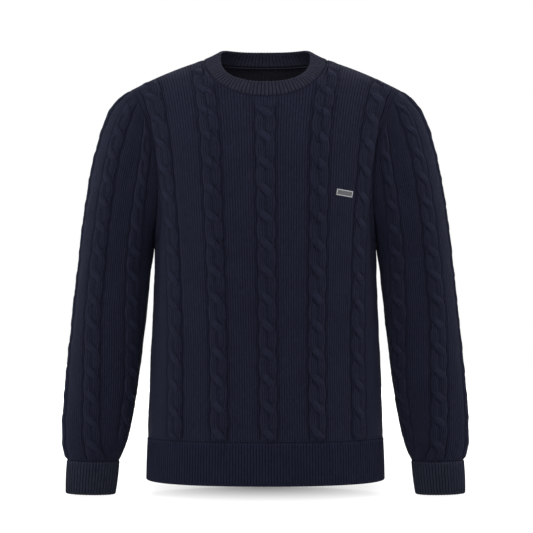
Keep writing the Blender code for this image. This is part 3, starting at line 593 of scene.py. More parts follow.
class Sleeve(Skin):
    """A sleeve, for the wearer's left (side 1) or right (side -1)."""

    limit = 1.0e9
    cables = SLEEVE_CABLES
    pressed = {0.0: 0.6}
    crossing = SLEEVE_CROSSING
    folds = SLEEVE_FOLDS
    count = 181

    def __init__(self, side, armhole):
        super().__init__()
        self.side = side
        self.steps = np.concatenate([np.linspace(15, 8, 50), np.linspace(7.9, 0.0, 72)])
        self.halves = {}
        self.tight = {}
        for name in ("front", "back"):
            start = ring_half(RINGS, 0.0, name, self.count)[0]
            bend = armhole[name] - start
            rings = []
            for step in self.steps:
                points, _ = ring_half(RINGS, step, name, self.count)
                keep = smooth(RINGS, RING_COLUMNS, "keep", step)
                rings.append(points + max(float(keep), 0.0) * bend)
            self.halves[name] = [(ring, lengths(ring)) for ring in rings]
        upper = [smooth(UPPER, UPPER_COLUMNS, name, self.steps) for name in UPPER_COLUMNS[1:]]
        self.upper = np.array(upper).T
        self.settle = ease(self.steps - UPPER[-1][0])

    def share(self, wale, half_length):
        """How far round the half ring a wale lies, once the rings have settled."""
        room = (UNDERARM_SHARE * half_length - STEADY_WALE) / (LAST_SLEEVE_WALE - STEADY_WALE)
        tight = min(room, 1.0)
        held = min(wale, STEADY_WALE)
        squeezed = min(max(wale - STEADY_WALE, 0.0), LAST_SLEEVE_WALE - STEADY_WALE) * tight
        last = STEADY_WALE + (LAST_SLEEVE_WALE - STEADY_WALE) * tight
        beyond = max(0.0, (wale - LAST_SLEEVE_WALE) / (SEAM_WALE - LAST_SLEEVE_WALE))
        return (held + squeezed + beyond * (half_length - last)) / half_length, tight

    def route(self, across):
        turned = (across + SEAM_WALE) % (2 * SEAM_WALE) - SEAM_WALE
        wale = abs(turned)
        name = "front" if turned * self.side < 0 else "back"
        points = []
        tights = []
        wales = (0.0, *UPPER_WALES, SEAM_WALE)
        for (ring, run), upper, settle in zip(self.halves[name], self.upper, self.settle):
            share, tight = self.share(wale, run[-1])
            above = float(np.interp(wale, wales, (0.0, *upper, 1.0)))
            share = above + settle * (share - above)
            points.append(along(ring, run, share * run[-1]))
            tights.append(tight)
        points = np.array(points)
        points[:, 0] *= self.side
        self.tight[round(float(across), 6)] = np.array(tights)
        return points

    def squeeze(self, places, up):
        """The last cables fade where the sleeve narrows under the arm."""
        shares = np.ones_like(up)
        for k, across in enumerate(places):
            if abs(across) > STEADY_WALE:
                _, run = self.wale(across)
                tight = self.tight[round(float(across), 6)]
                shares[k] = ease((np.interp(up[k], run, tight) - 0.45) / 0.35)
        return shares


def ring_half(table, ring, name, count):
    """Half a ring from its outer line to its inner line, through the front or the back."""
    row = {key: float(smooth(table, RING_COLUMNS, key, ring)) for key in RING_COLUMNS[1:]}
    outer = np.array([row["outer_x"], row["middle"], row["outer_z"]])
    inner = np.array([row["inner_x"], row["middle"], row["inner_z"]])
    depth = -row["front"] if name == "front" else row["back"]
    angles = np.linspace(0.0, math.pi, 4 * count)
    side, along_axis = arc_of(angles, depth, 1.0, RING_POWER)
    points = (outer + inner) / 2 + along_axis[:, None] * (outer - inner) / 2
    points[:, 1] += side
    run = lengths(points)
    even = along(points, run, np.linspace(0.0, run[-1], count))
    return even, run[-1]


def armhole_lines(front, back):
    """The armhole seam for the sleeves: each panel's edge, with the seam's gap."""
    lines = {}
    for name, panel in (("front", front), ("back", back)):
        points, across, normal = panel.armhole(Sleeve.count)
        swing = np.linspace(0.0, math.pi / 2, Sleeve.count)[:, None]
        lines[name] = points + ARMHOLE_GAP * (np.cos(swing) * across + np.sin(swing) * normal)
    middle_top = (lines["front"][0] + lines["back"][0]) / 2
    middle_low = (lines["front"][-1] + lines["back"][-1]) / 2
    for line in lines.values():
        line[0] = middle_top
        line[-1] = middle_low
    return lines


# ---------------------------------------------------------------- cables, ribs and small waves


def waves(across, up, size, seed):
    """Small unevenness of hand and yarn, about -1 to 1, with waves of about the given size."""
    chance = np.random.default_rng(seed)
    total = 0.0
    for _ in range(7):
        turn = chance.uniform(0.0, math.pi)
        rate = 2.0 * math.pi / (size * chance.uniform(0.7, 1.6))
        lift = chance.uniform(0.0, 2.0 * math.pi)
        total = total + np.sin(rate * (math.cos(turn) * across + math.sin(turn) * up) + lift)
    return total / 3.5


def strand_middles(phase):
    """Where the front and the back strand lie, by phase from -0.5 to 0.5 through a crossing."""
    swing = STRAND_SWING * (2.0 * ease(0.5 + phase / CROSSING_SHARE) - 1.0)
    return -swing, swing


def strand_round(off, half):
    """Rounded section of a strand."""
    return np.maximum(0.0, 1.0 - np.abs(off / half) ** STRAND_SQUARE) ** 0.5


def cable_layers(off, phase):
    """Heights of the front strand, the back strand and the pad under them, across a cable."""
    front, back = strand_middles(phase)
    over = 0.5 + 0.5 * np.cos(2.0 * math.pi * np.clip(phase / CROSSING_SHARE, -0.5, 0.5))
    wide = STRAND_HALF * (1.0 + FRONT_SWELL * over)
    high = (STRAND_HEIGHT + FRONT_LIFT * over) * strand_round(off - front, wide)
    low = (STRAND_HEIGHT - BACK_DIP * over) * strand_round(off - back, wide)
    pad = PAD_HEIGHT * (1.0 - np.minimum(np.abs(off / CABLE_EDGE), 1.0) ** PAD_SQUARE)
    parted = ease((np.abs(phase) - PARTED_FROM) / PARTED_OVER)
    join = JOIN_HEIGHT * parted * hump(off, JOIN_HALF)
    return high, low, np.maximum(pad, join)


def blend(first, second, soft):
    """The higher of two heights, rounded where they meet."""
    gap = np.maximum(soft - np.abs(first - second), 0.0) / soft
    return np.maximum(first, second) + gap * gap * soft * 0.25


def cable_relief(skin, across, up):
    """Height of the knit over the plain ground, and the painted light of each point: painted shade
    in creases, pockets and grooves, painted highlight on strand tops.
    """
    height = np.zeros_like(up)
    light = np.ones_like(up)
    for centre, first in skin.cables:
        off = across - centre
        turns = (up - first) / skin.crossing
        phase = turns - np.round(turns)
        high, low, pad = cable_layers(off, phase)
        top = blend(blend(high, low, PAD_BLEND), pad, PAD_BLEND)
        calm = skin.pressed.get(centre, 0.0)
        pressed = PRESSED_HEIGHT * (1.0 - np.clip(off / CABLE_EDGE, -1.0, 1.0) ** 4)
        top = top + calm * (pressed - top)
        within = np.abs(off) < CABLE_EDGE
        sway = GROOVE_SWAY * np.cos(2.0 * math.pi * phase)
        groove = hump(np.abs(off) - GROOVE_AT + sway, GROOVE_HALF)
        height += np.where(within, top, 0.0) - GROOVE_DEPTH * groove
        crease = hump(high - low, CREASE_HALF) * (np.maximum(high, low) > CREASE_LEAST)
        crease = crease * ease((CREASE_TOP - top) / CREASE_OVER)
        pocket = hump(high - pad, POCKET_HALF)
        pocket = pocket * (np.abs(off) < POCKET_REACH) * (np.abs(phase) < POCKET_PHASE)
        ridge = ease((top - RIDGE_FROM) / RIDGE_OVER)
        shade = CREASE_SHADE * crease + POCKET_SHADE * pocket - RIDGE_LIGHT * ridge
        light -= (1.0 - calm) * (GROOVE_SHADE * groove + np.where(within, shade, 0.0))
    return height, np.clip(light, *LIGHT_RANGE)


def stitch_across(skin, across, middle_across, up, middle_up):
    """Where a face's corners lie across the stitches, in widths of a ground wale times its size.
    Each face takes the stitches of whatever lies on top at its middle."""
    centres = np.array([centre for centre, _ in skin.cables])
    ground = np.zeros_like(across)
    for left, right in zip(centres[:-1] + CABLE_EDGE, centres[1:] - CABLE_EDGE):
        count = round((right - left) / WALE)
        between = (middle_across > left) & (middle_across < right)
        ground = np.where(between, (across - left) * count * WALE / (right - left), ground)
    last = centres[-1] + CABLE_EDGE
    ground = np.where(middle_across > last, across - last, ground)
    ground = np.where(middle_across < -last, across + last, ground)
    for centre, first in skin.cables:
        middle_off = middle_across - centre
        turns = np.round((middle_up - first) / skin.crossing)
        middle_phase = (middle_up - first) / skin.crossing - turns
        high, low, pad = cable_layers(middle_off, middle_phase)
        front, back = strand_middles((up - first) / skin.crossing - turns)
        off = across - centre
        scale = WALE / STRAND_WALE
        place = np.where(high >= low, (off - front) * scale, (off - back) * scale)
        place = np.where(np.maximum(high, low) < PAD_HEIGHT * 0.8, off, place)
        ground = np.where(np.abs(middle_off) < CABLE_EDGE, place, ground)
    return ground


def rib_height(turns):
    """Height of a rib of one knit and one purl wale, rounded on top with a narrow valley."""
    round_top = np.abs(np.sin(math.pi * turns)) ** RIB_ROUND
    return RIB_VALLEY + (RIB_TOP - RIB_VALLEY) * round_top


# ---------------------------------------------------------------- meshes


class Cloth:
    """Collects the points, faces and stitch places of one piece."""

    def __init__(self):
        self.points = []
        self.light = []
        self.faces = []
        self.stitches = []
        self.inside = []
        self.count = 0

    def grid(self, points, light):
        """Adds a grid of points and gives their numbers."""
        numbers = self.count + np.arange(points[..., 0].size).reshape(points.shape[:-1])
        self.points.append(points.reshape(-1, 3))
        self.light.append(np.broadcast_to(light, points.shape[:-1]).reshape(-1))
        self.count += numbers.size
        return numbers

    def cover(self, numbers, across, up, inside):
        """Faces over a grid of numbers (across, up). Across and up hold the stitch places of the
        four corners of each face, in the order of the outer face's corners."""
        corners = np.stack(
            [numbers[:-1, :-1], numbers[1:, :-1], numbers[1:, 1:], numbers[:-1, 1:]], axis=-1
        ).reshape(-1, 4)
        places = np.stack([across, up], axis=-1).reshape(-1, 4, 2)
        if inside:
            corners, places = corners[:, ::-1], places[:, ::-1]
        self.faces.extend(corners.tolist())
        self.stitches.append(places.reshape(-1, 2))
        self.inside.append(np.full(len(corners), int(inside)))

    def zip(self, left, left_at, right, right_at):
        """Triangles between two lines of numbers, the left one to the left as both run up."""
        made = []
        i = j = 0
        while i < len(left) - 1 or j < len(right) - 1:
            step_left = j == len(right) - 1 or (
                i < len(left) - 1
                and left_at[i] + left_at[i + 1] <= right_at[j] + right_at[j + 1]
            )
            if step_left:
                made.append((int(left[i]), int(right[j]), int(left[i + 1])))
                places = ((0.0, left_at[i]), (2.0, right_at[j]), (0.0, left_at[i + 1]))
                i += 1
            else:
                made.append((int(left[i]), int(right[j]), int(right[j + 1])))
                places = ((0.0, left_at[i]), (2.0, right_at[j]), (2.0, right_at[j + 1]))
                j += 1
            self.stitches.append(np.array(places))
        self.faces.extend(made)
        self.inside.append(np.ones(len(made), int))

    def finish(self, name, materials):
        mesh = bpy.data.meshes.new(name)
        mesh.from_pydata((np.concatenate(self.points) * MM).tolist(), [], self.faces)
        mesh.uv_layers.new(name="stitches").data.foreach_set(
            "uv", np.concatenate(self.stitches).astype(np.float32).ravel()
        )
        # The painted light of each point (painted shade and painted highlight), which the yarn's
        # colour reads
        light = mesh.attributes.new("light", "FLOAT", "POINT")
        light.data.foreach_set("value", np.concatenate(self.light).astype(np.float32))
        for material in materials:
            mesh.materials.append(material)
        mesh.polygons.foreach_set("material_index", np.concatenate(self.inside).astype(np.int32))
        mesh.shade_smooth()
        mesh.update()
        piece = bpy.data.objects.new(name, mesh)
        bpy.context.scene.collection.objects.link(piece)
        return piece


def fine_places(skin, side, side_step):
    """Across places of the fine columns: close together over each cable and its grooves."""
    half = np.array(CABLE_COLUMNS)
    band = np.concatenate([-half[:0:-1], half])
    centres = [centre for centre, _ in skin.cables]
    places = [centre + off for centre in centres for off in band]
    reach = half[-1]
    for left, right in zip(centres[:-1], centres[1:]):
        count = math.ceil((right - left - 2 * reach) / GROUND_STEP)
        places += list(np.linspace(left + reach, right - reach, count + 1)[1:-1])
    start = centres[-1] + reach
    edge = np.linspace(start, side, math.ceil((side - start) / side_step) + 1)[1:]
    return np.array(sorted(places + list(edge) + list(-edge)))


def lay_out(skin, places, rows):
    """Plain points, normals and heights up of a grid of wales and rows."""
    shares = np.linspace(0.0, 1.0, rows)
    ups = np.array([skin.length(across) * shares for across in places])
    frames = [skin.frame(across, up) for across, up in zip(places, ups)]
    points = np.array([frame[0] for frame in frames])
    normals = np.array([frame[1] for frame in frames])
    return points, normals, ups


def some_of(count):
    """Numbers of the coarser lines of the inside, with the first and the last."""
    return np.unique(np.append(np.arange(0, count, INNER_EVERY), count - 1))


def knit_surface(skin, places, points, normals, ups, seed):
    """The outside of a knitted piece: cables, folds, small waves, and edges that sink to seams,
    with its painted light: the cables' painted shade and highlight, and painted shade at the seams.
    """
    tops = ups[:, -1:]
    across = places[:, None] + np.zeros_like(ups)
    fade = ease(ups / CABLE_FADE)
    fade = fade * (TOP_STAYS + (1.0 - TOP_STAYS) * ease((tops - ups) / TOP_FADE))
    fade = fade * ease((tops - ups) / CABLE_FADE)
    relief, light = cable_relief(skin, across, ups)
    strength = fade * skin.squeeze(places, ups)
    soft = ease(ups / CALM_EDGE) * ease((tops - ups) / CALM_EDGE)
    uneven = sum(high * waves(across, ups, long, seed + k) for k, (high, long) in enumerate(UNEVEN))
    varied = 1.0 + CABLE_VARIES * waves(across, ups, CABLE_VARY_LENGTH, seed + len(UNEVEN))
    near_top, near_foot = hump(tops - ups, SEAM_REACH), hump(ups, SEAM_REACH)
    dip = SEAM_DIP * np.maximum(near_top, FOOT_DIP_SHARE * near_foot)
    bend = skin.fold(across, ups) * soft
    out = relief * strength * varied + bend + uneven * soft - dip
    # Painted shade at the top and foot seams, added to the cables' painted light
    light = 1.0 - (1.0 - light) * strength - SEAM_SHADE * (near_top + near_foot)
    return out, np.clip(light, *LIGHT_RANGE), bend


def corner_values(values):
    """Values at the four corners of each face of a grid, in the outer face's order."""
    return np.stack([values[:-1, :-1], values[1:, :-1], values[1:, 1:], values[:-1, 1:]], axis=-1)


def even_wales(places, points, last):
    """Places across for the stitches: beyond the last cable they follow real distances, so that
    the wales there run on side by side until a seam cuts them off."""
    across = places[:, None] + np.zeros(points.shape[:2])
    rise = unit(np.gradient(points, axis=1))[1:]
    step = np.diff(points, axis=0)
    apart = np.linalg.norm(step - np.sum(step * rise, axis=-1, keepdims=True) * rise, axis=-1)
    for k in np.nonzero(places > last)[0]:
        across[k] = across[k - 1] + apart[k - 1]
    for k in np.nonzero(places < -last)[0][::-1]:
        across[k] = across[k + 1] - apart[k]
    return across


def cover_knit(cloth, skin, numbers, across, ups):
    """Outer faces with each corner's place in its stitches."""
    corner_across, corner_up = corner_values(across), corner_values(ups)
    middle_across = corner_across.mean(axis=-1, keepdims=True)
    middle_up = corner_up.mean(axis=-1, keepdims=True)
    place = stitch_across(skin, corner_across, middle_across, corner_up, middle_up)
    cloth.cover(numbers, place, corner_up, False)


def cover_plain(cloth, numbers, across, ups):
    """Inner faces, purl side."""
    cloth.cover(numbers, corner_values(across), corner_values(ups), True)


def make_panel(name, skin, materials, seed):
    places = fine_places(skin, SIDE_WALE, EDGE_STEP)
    points, normals, ups = lay_out(skin, places, BODY_ROWS)
    out, light, bend = knit_surface(skin, places, points, normals, ups, seed)
    # Painted shade along the side edges, where they sink to the seams
    for edge in (0, -1):
        near = hump(np.linalg.norm(points - points[edge][None], axis=-1), SEAM_REACH)
        out = out - SEAM_DIP * near
        light = np.clip(light - SIDE_SHADE * near, *PIECE_LIGHT_RANGE)
    across = even_wales(places, points, LAST_WALE)
    cloth = Cloth()
    outer = cloth.grid(skin.keep_side(points + normals * out[..., None]), light)
    cover_knit(cloth, skin, outer, across, ups)
    columns, rows = some_of(len(places)), some_of(BODY_ROWS)
    few = np.ix_(columns, rows)
    inner_points = points[few] + normals[few] * (bend[few] - WALL)[..., None]
    inner = cloth.grid(skin.keep_side(inner_points), 1.0)
    cover_plain(cloth, inner, across[few], ups[few])
    all_rows, all_columns = np.arange(BODY_ROWS), np.arange(len(places))
    cloth.zip(inner[:, -1], columns, outer[:, -1], all_columns)
    cloth.zip(outer[:, 0], all_columns, inner[:, 0], columns)
    cloth.zip(outer[-1], all_rows, inner[-1], rows)
    cloth.zip(inner[0], rows, outer[0], all_rows)
    return cloth.finish(name, materials)


def make_sleeve(name, skin, materials, seed):
    places = fine_places(skin, SEAM_WALE, UNDERARM_STEP)[1:]
    points, normals, ups = lay_out(skin, places, SLEEVE_ROWS)
    out, light, bend = knit_surface(skin, places, points, normals, ups, seed)
    # Painted shade along the underarm seam, where the cloth sinks into it
    under = hump(SEAM_WALE - np.abs(places), UNDERARM_REACH)[:, None]
    out = out - SEAM_DIP * under
    light = np.clip(light - SEAM_SHADE * under, *PIECE_LIGHT_RANGE)
    cloth = Cloth()
    outer = cloth.grid(points + normals * out[..., None], light)
    ring = np.append(np.arange(len(places)), 0)
    across = even_wales(places, points, LAST_SLEEVE_WALE)
    across = np.concatenate([across, across[-1:] + UNDERARM_STEP])
    cover_knit(cloth, skin, outer[ring], across, ups[ring])
    columns, rows = some_of(len(places)), some_of(SLEEVE_ROWS)
    few = np.ix_(columns, rows)
    inner = cloth.grid(points[few] + normals[few] * (bend[few] - WALL)[..., None], 1.0)
    inner_ring = np.append(np.arange(len(columns)), 0)
    inner_turn = np.append(columns, len(places)).astype(float)
    inner_across = np.append(places[columns], places[0] + 2 * SEAM_WALE)
    cover_plain(cloth, inner[inner_ring], inner_across[:, None] + np.zeros((1, len(rows))),
                ups[few][inner_ring])
    outer_turn = np.arange(len(places) + 1.0)
    cloth.zip(inner[inner_ring, -1], inner_turn, outer[ring, -1], outer_turn)
    cloth.zip(outer[ring, 0], outer_turn, inner[inner_ring, 0], inner_turn)
    return cloth.finish(name, materials)


# ---------------------------------------------------------------- ribbed bands


def hem_rings(side):
    """Level rings of half the hem, from the bottom edge to the seam."""
    panel = BodyPanel(side)
    rings = []
    count = HEM_RIBS * RIB_COLUMNS // 2
    for height in (HEM_EDGE, HEM_SEAM - SEAM_GAP):
        points, run = panel.quarter(height)
        half = along(points, run, np.linspace(0.0, run[-1], count + 1))
        half[:, 0] *= -side
        other = half[:0:-1] * (-1.0, 1.0, 1.0)
        rings.append(np.concatenate([other, half]))
    return rings, panel.keep_side


def cuff_rings(side):
    """Rings of a cuff, from its open edge to the seam, round to the right seen from outside."""
    rings = []
    for ring in (1.0, 0.0):
        count = CUFF_RIBS * RIB_COLUMNS // 2 + 1
        front, _ = ring_half(CUFF, ring, "front", count)
        back, _ = ring_half(CUFF, ring, "back", count)
        points = np.concatenate([front[::-1], back[1:-1]])
        if side < 0:
            points = points[::-1] * (-1.0, 1.0, 1.0)
        rings.append(points)
    return rings


def neckband_rings(front_panel, back_panel):
    """The top edge and the neck seam of the neckband, both in the order in which make_band finds
    the outside, and the normals of the panels along the seam."""
    angles = np.linspace(0.0, 2 * math.pi, 1441)
    front = np.cos(angles) > 0
    low_x, low = arc_of(angles, NECK_HALF, 1.0, NECK_POWER)
    top_x, top = arc_of(angles, TOP_HALF, 1.0, NECK_POWER)
    share = np.abs(low)
    depth, height = np.where(front, neck_point(-1, share), neck_point(1, share))
    seam = np.stack([low_x, depth, height], axis=1)
    top_y = -top * np.where(front, TOP_FRONT, TOP_BACK)
    edge = np.stack([top_x, top_y, smooth(TOP_EDGE, TOP_EDGE_COLUMNS, "height", top_y)], axis=1)
    coarse = 2 * NECK_RIBS
    fine = NECK_RIBS * RIB_COLUMNS
    even = []
    for line in (seam, edge):
        run = lengths(line)
        even.append(along(line, run, np.linspace(0.0, run[-1], fine + 1)[:-1]))
    seam, edge = even
    ends, wales = np.array(WALE_ENDS).T[::-1]
    some = seam[:: fine // coarse]
    normals = np.zeros_like(some)
    for k, (x, y, _) in enumerate(some):
        panel = front_panel if y < 0 else back_panel
        across = math.copysign(np.interp(abs(x), ends, wales), -panel.side * x)
        normals[k] = panel.frame(across, [panel.length(across)])[1][0]
    normals = unit(np.roll(normals, 1, axis=0) + 2.0 * normals + np.roll(normals, -1, axis=0))
    at = np.arange(fine) * coarse / fine
    closed = np.concatenate([normals, normals[:1]])
    normals = unit(along(closed, np.arange(coarse + 1.0), at))
    off_seam = unit(np.cross(normals, np.roll(seam, -1, axis=0) - np.roll(seam, 1, axis=0)))
    return edge[::-1], (seam + NECKBAND_GAP * off_seam)[::-1], normals[::-1]


def make_band(name, free, seam, wall, materials, closed, bulge, seam_normals=None, keep=None,
              seed=0, relief=1.0, link=1.0, calm_inside=0.0):
    """A ribbed band between its free edge and its seam. It folds over at the free edge, and its
    last course at the seam is a row of linking stitches. Relief makes the ribs deeper or flatter,
    and calm_inside flattens them near the seam on the inside."""
    upward = seam - free
    if closed:
        right = np.roll(free + seam, -1, axis=0) - np.roll(free + seam, 1, axis=0)
    else:
        right = np.gradient(free + seam, axis=0)
    normals = unit(np.cross(right, upward))
    height = np.linalg.norm(upward, axis=1)
    tall = float(height.mean())
    half = wall / 2.0
    outer_part = np.linspace(tall, half, max(6, int(tall / BAND_STEP)))
    inner_part = np.linspace(half, tall, max(6, int(tall / INNER_BAND_STEP)))
    swing = np.linspace(0.0, math.pi, 8)[1:-1]
    profile = [(d, 0.0, 1.0) for d in outer_part]
    profile += [(half - half * math.sin(a), half * math.cos(a) - half, math.cos(a)) for a in swing]
    profile += [(d, -wall, -1.0) for d in inner_part]
    count = len(free)
    index = np.arange(count, dtype=float)
    turns = index / RIB_COLUMNS
    ribs = relief * rib_height(turns)
    inner_ribs = ribs - relief * (RIB_TOP + RIB_VALLEY)
    step = float(np.linalg.norm(np.diff(seam, axis=0), axis=1).mean())
    links = np.abs(np.cos(math.pi * index * step / LINK))
    wave = BAND_WAVE * waves(index * step, 0.0, BAND_WAVE_LENGTH, seed)
    deep = (relief * RIB_TOP - ribs) / (RIB_TOP - RIB_VALLEY)
    grid = []
    light = []
    for away, out, facing in profile:
        share = away / tall
        turn = normals
        if seam_normals is not None:
            turn = unit(normals * (1.0 - ease(share)) + seam_normals * ease(share))
        crown = bulge * math.sin(math.pi * share)
        to_seam = tall - away
        linked = link * hump(to_seam - LINK_AT, LINK_HALF) * (facing > 0)
        dip = hump(to_seam, DIP_HALF) * (facing > 0)
        calm = 1.0 - calm_inside * ease((share - CALM_FROM) / CALM_OVER) * (facing < 0)
        flat = 1.0 - LINK_FLATTENS * linked
        if facing == 1.0:
            rise = ribs * flat + LINK_HEIGHT * links * linked
            rise = rise * (1.0 - DIP_FLATTENS * dip) - DIP_DEPTH * dip
        elif facing == -1.0:
            rise = inner_ribs * INSIDE_RIBS * calm
        else:
            rise = (FOLD_OUTER_RIBS * ribs * (1.0 + facing)
                    + FOLD_INNER_RIBS * inner_ribs * (1.0 - facing)) / 2.0
        points = free + upward * share
        down = -unit(upward) * (EDGE_RIBS * ribs * (1.0 - abs(facing)))[:, None]
        points = points + turn * (out + rise + crown + wave)[:, None] + down
        grid.append(points if keep is None else keep(points))
        # Painted light: painted shade in the rib valleys and the dip at the seam, painted highlight
        # on the links with painted shade in their gaps, and the inside painted lighter
        light.append(1.0 - RIB_SHADE * deep * calm * flat - DIP_SHADE * dip
                     + (LINK_LIGHT * links - LINK_SHADE) * linked + INSIDE_LIGHT * (facing < 0))
    grid = np.array(grid).transpose(1, 0, 2)[:, ::-1]
    light = np.clip(np.array(light).T[:, ::-1], *BAND_LIGHT_RANGE)
    cloth = Cloth()
    numbers = cloth.grid(grid, light)
    ring = np.append(np.arange(count), 0) if closed else np.arange(count)
    across = (np.arange(len(ring)) / RIB_COLUMNS * WALE)[:, None] + np.zeros((1, len(profile)))
    up = np.array([tall - d if f > 0 else tall + d for d, _, f in profile])[::-1]
    up = up[None, :] + np.zeros_like(across)
    ring_numbers = numbers[ring][:, ::-1]
    cloth.cover(ring_numbers[::-1], corner_values(across[::-1]), corner_values(up[:, ::-1]), False)
    cloth.zip(numbers[ring, 0], np.arange(len(ring)), numbers[ring, -1], np.arange(len(ring)))
    if not closed:
        middle = len(inner_part) + len(swing) // 2
        below = np.array([tall - d for d, _, _ in profile])[::-1]
        for end in (0, -1):
            line = numbers[end]
            left, right_line = line[:middle + 1], line[middle:][::-1]
            at_left, at_right = below[:middle + 1], below[middle:][::-1]
            if end == 0:
                cloth.zip(right_line, at_right, left, at_left)
            else:
                cloth.zip(left, at_left, right_line, at_right)
    return cloth.finish(name, materials)


def seam_paths(front, back, armhole, neck_seam, neck_normals):
    """Where each seam runs, with the direction out of the cloth: armholes, sides, shoulders,
    hem, cuffs and neck."""
    paths = []
    for side in (1.0, -1.0):
        mirror = (side, 1.0, 1.0)
        for name, panel in (("front", front), ("back", back)):
            normals = panel.armhole(Sleeve.count)[2]
            paths.append((armhole[name] * mirror, normals * mirror))
        points, run = front.wale(SIDE_WALE)
        seam = along(points, run, np.linspace(0.0, front.underarm_at(), 90))
        seam[:, 1] = 0.0
        paths.append((seam * mirror, np.tile((side, 0.0, 0.0), (len(seam), 1))))
        x = np.linspace(NECK_HALF, TIP_HALF, 50)
        seam = np.stack([x, np.zeros_like(x), shoulder_height(x)], axis=1)
        lean = SHOULDER_SLOPE + 2 * SHOULDER_CURVE * (x - NECK_HALF)
        up = np.stack([lean, np.zeros_like(x), np.ones_like(x)], axis=1)
        paths.append((seam * mirror, unit(up) * mirror))
        front_half, _ = ring_half(CUFF, 0.0, "front", 80)
        back_half, _ = ring_half(CUFF, 0.0, "back", 80)
        seam = np.concatenate([front_half, back_half[::-1]]) * mirror
        paths.append((seam, unit((seam - seam.mean(axis=0)) * (1.0, 1.0, 0.0))))
    rings = [panel.quarter(HEM_SEAM)[0] for panel in (front, back)]
    quarter = np.concatenate([rings[0], rings[1][::-1]])
    for side in (1.0, -1.0):
        seam = quarter[::4] * (side, 1.0, 1.0)
        paths.append((seam, unit(seam * (1.0, 1.0, 0.0))))
    paths.append((np.concatenate([neck_seam, neck_seam[:1]]),
                  np.concatenate([neck_normals, neck_normals[:1]])))
    return paths


def make_seams(paths, materials):
    """The joining yarn of every seam: a cord in the gap just under the surface, and a thicker one
    behind it that closes the seam from the inside."""
    cloth = Cloth()
    swing = np.linspace(0.0, 2.0 * math.pi, 9)[:-1]
    for points, normals in paths:
        run = lengths(points)
        even = np.linspace(0.0, run[-1], max(3, int(run[-1] / SEAM_CORD_STEP)))
        line, out = along(points, run, even), unit(along(normals, run, even))
        ahead = unit(np.gradient(line, axis=0))
        aside = unit(np.cross(ahead, out))
        ring = np.append(np.arange(len(swing)), 0)
        around = np.arange(len(ring)) * 0.9 + np.zeros((len(even), 1))
        ahead_at = even[:, None] + np.zeros_like(around)
        for depth, half, light, inside in SEAM_CORDS:
            middle = line - depth * out
            tube = (middle[:, None] + half * (np.cos(swing)[None, :, None] * aside[:, None]
                    + np.sin(swing)[None, :, None] * out[:, None]))
            numbers = cloth.grid(tube, light)[:, ring]
            if inside:
                numbers = numbers[::-1]
            cloth.cover(numbers, corner_values(ahead_at), corner_values(around), inside)
    return cloth.finish("joining_yarn", materials)


def make_tab(skin, materials):
    """The small woven tab: a thin slab on the ground of the front, with softly rounded edges."""
    turn = math.radians(BADGE_TURN)
    corners = []
    for u in (-1.0, 1.0):
        for v in (-1.0, 1.0):
            x, y = u * BADGE_WIDTH / 2, v * BADGE_HEIGHT / 2
            across = BADGE_ACROSS + x * math.cos(turn) + y * math.sin(turn)
            up = BADGE_UP - x * math.sin(turn) + y * math.cos(turn)
            point, normal = skin.frame(across, [up])
            bend = skin.fold(across, np.array([up]))
            corners.append((point[0] + normal[0] * bend[0], normal[0]))
    low_left, high_left, low_right, high_right = corners
    us, vs = np.linspace(0.0, 1.0, 55), np.linspace(0.0, 1.0, 23)
    u, v = np.meshgrid(us, vs, indexing="ij")

    def spread(part):
        left = (1 - v)[..., None] * low_left[part] + v[..., None] * high_left[part]
        right = (1 - v)[..., None] * low_right[part] + v[..., None] * high_right[part]
        return (1 - u)[..., None] * left + u[..., None] * right

    plane, normal = spread(0), unit(spread(1))
    inset = np.minimum(np.minimum(u, 1 - u) * BADGE_WIDTH, np.minimum(v, 1 - v) * BADGE_HEIGHT)
    cloth = Cloth()
    top = SEAM_GAP + BADGE_RIM + (BADGE_THICK - BADGE_RIM) * ease(inset / BADGE_ROUND)
    top = top + OVERLOCK_HEIGHT * hump(inset - OVERLOCK_AT, OVERLOCK_HALF)
    front = cloth.grid(plane + normal * top[..., None], 1.0)
    back = cloth.grid(plane + normal * SEAM_GAP, 1.0)
    across = u * BADGE_WIDTH
    up = v * BADGE_HEIGHT
    cloth.cover(front, corner_values(across), corner_values(up), False)
    cloth.cover(back, corner_values(across), corner_values(up), True)
    at_u, at_v = np.arange(len(us)), np.arange(len(vs))
    cloth.zip(back[:, -1], at_u, front[:, -1], at_u)
    cloth.zip(front[:, 0], at_u, back[:, 0], at_u)
    cloth.zip(front[-1], at_v, back[-1], at_v)
    cloth.zip(back[0], at_v, front[0], at_v)
    return cloth.finish("woven_tab", materials)


# ---------------------------------------------------------------- materials


def linear(code):
    """A colour given as sRGB hex, as Blender's shaders take it."""
    values = [int(code[k:k + 2], 16) / 255.0 for k in (1, 3, 5)]
    return [v / 12.92 if v <= 0.04045 else ((v + 0.055) / 1.055) ** 2.4 for v in values] + [1.0]


def add(tree, kind, *sources, **settings):
    """Adds a node with its settings, and links or sets its inputs in order. A dictionary of
    sources names its inputs. Gives the first output that is in use."""
    made = tree.nodes.new("ShaderNode" + kind)
    for name, value in settings.items():
        setattr(made, name, value)
    named = dict(enumerate(sources))
    if sources and isinstance(sources[0], dict):
        named = sources[0]
    for key, source in named.items():
        if source is None:
            continue
        if isinstance(source, bpy.types.NodeSocket):
            tree.links.new(source, made.inputs[key])
        else:
            made.inputs[key].default_value = source
    usable = [socket for socket in made.outputs if socket.enabled]
    return usable[0] if usable else made


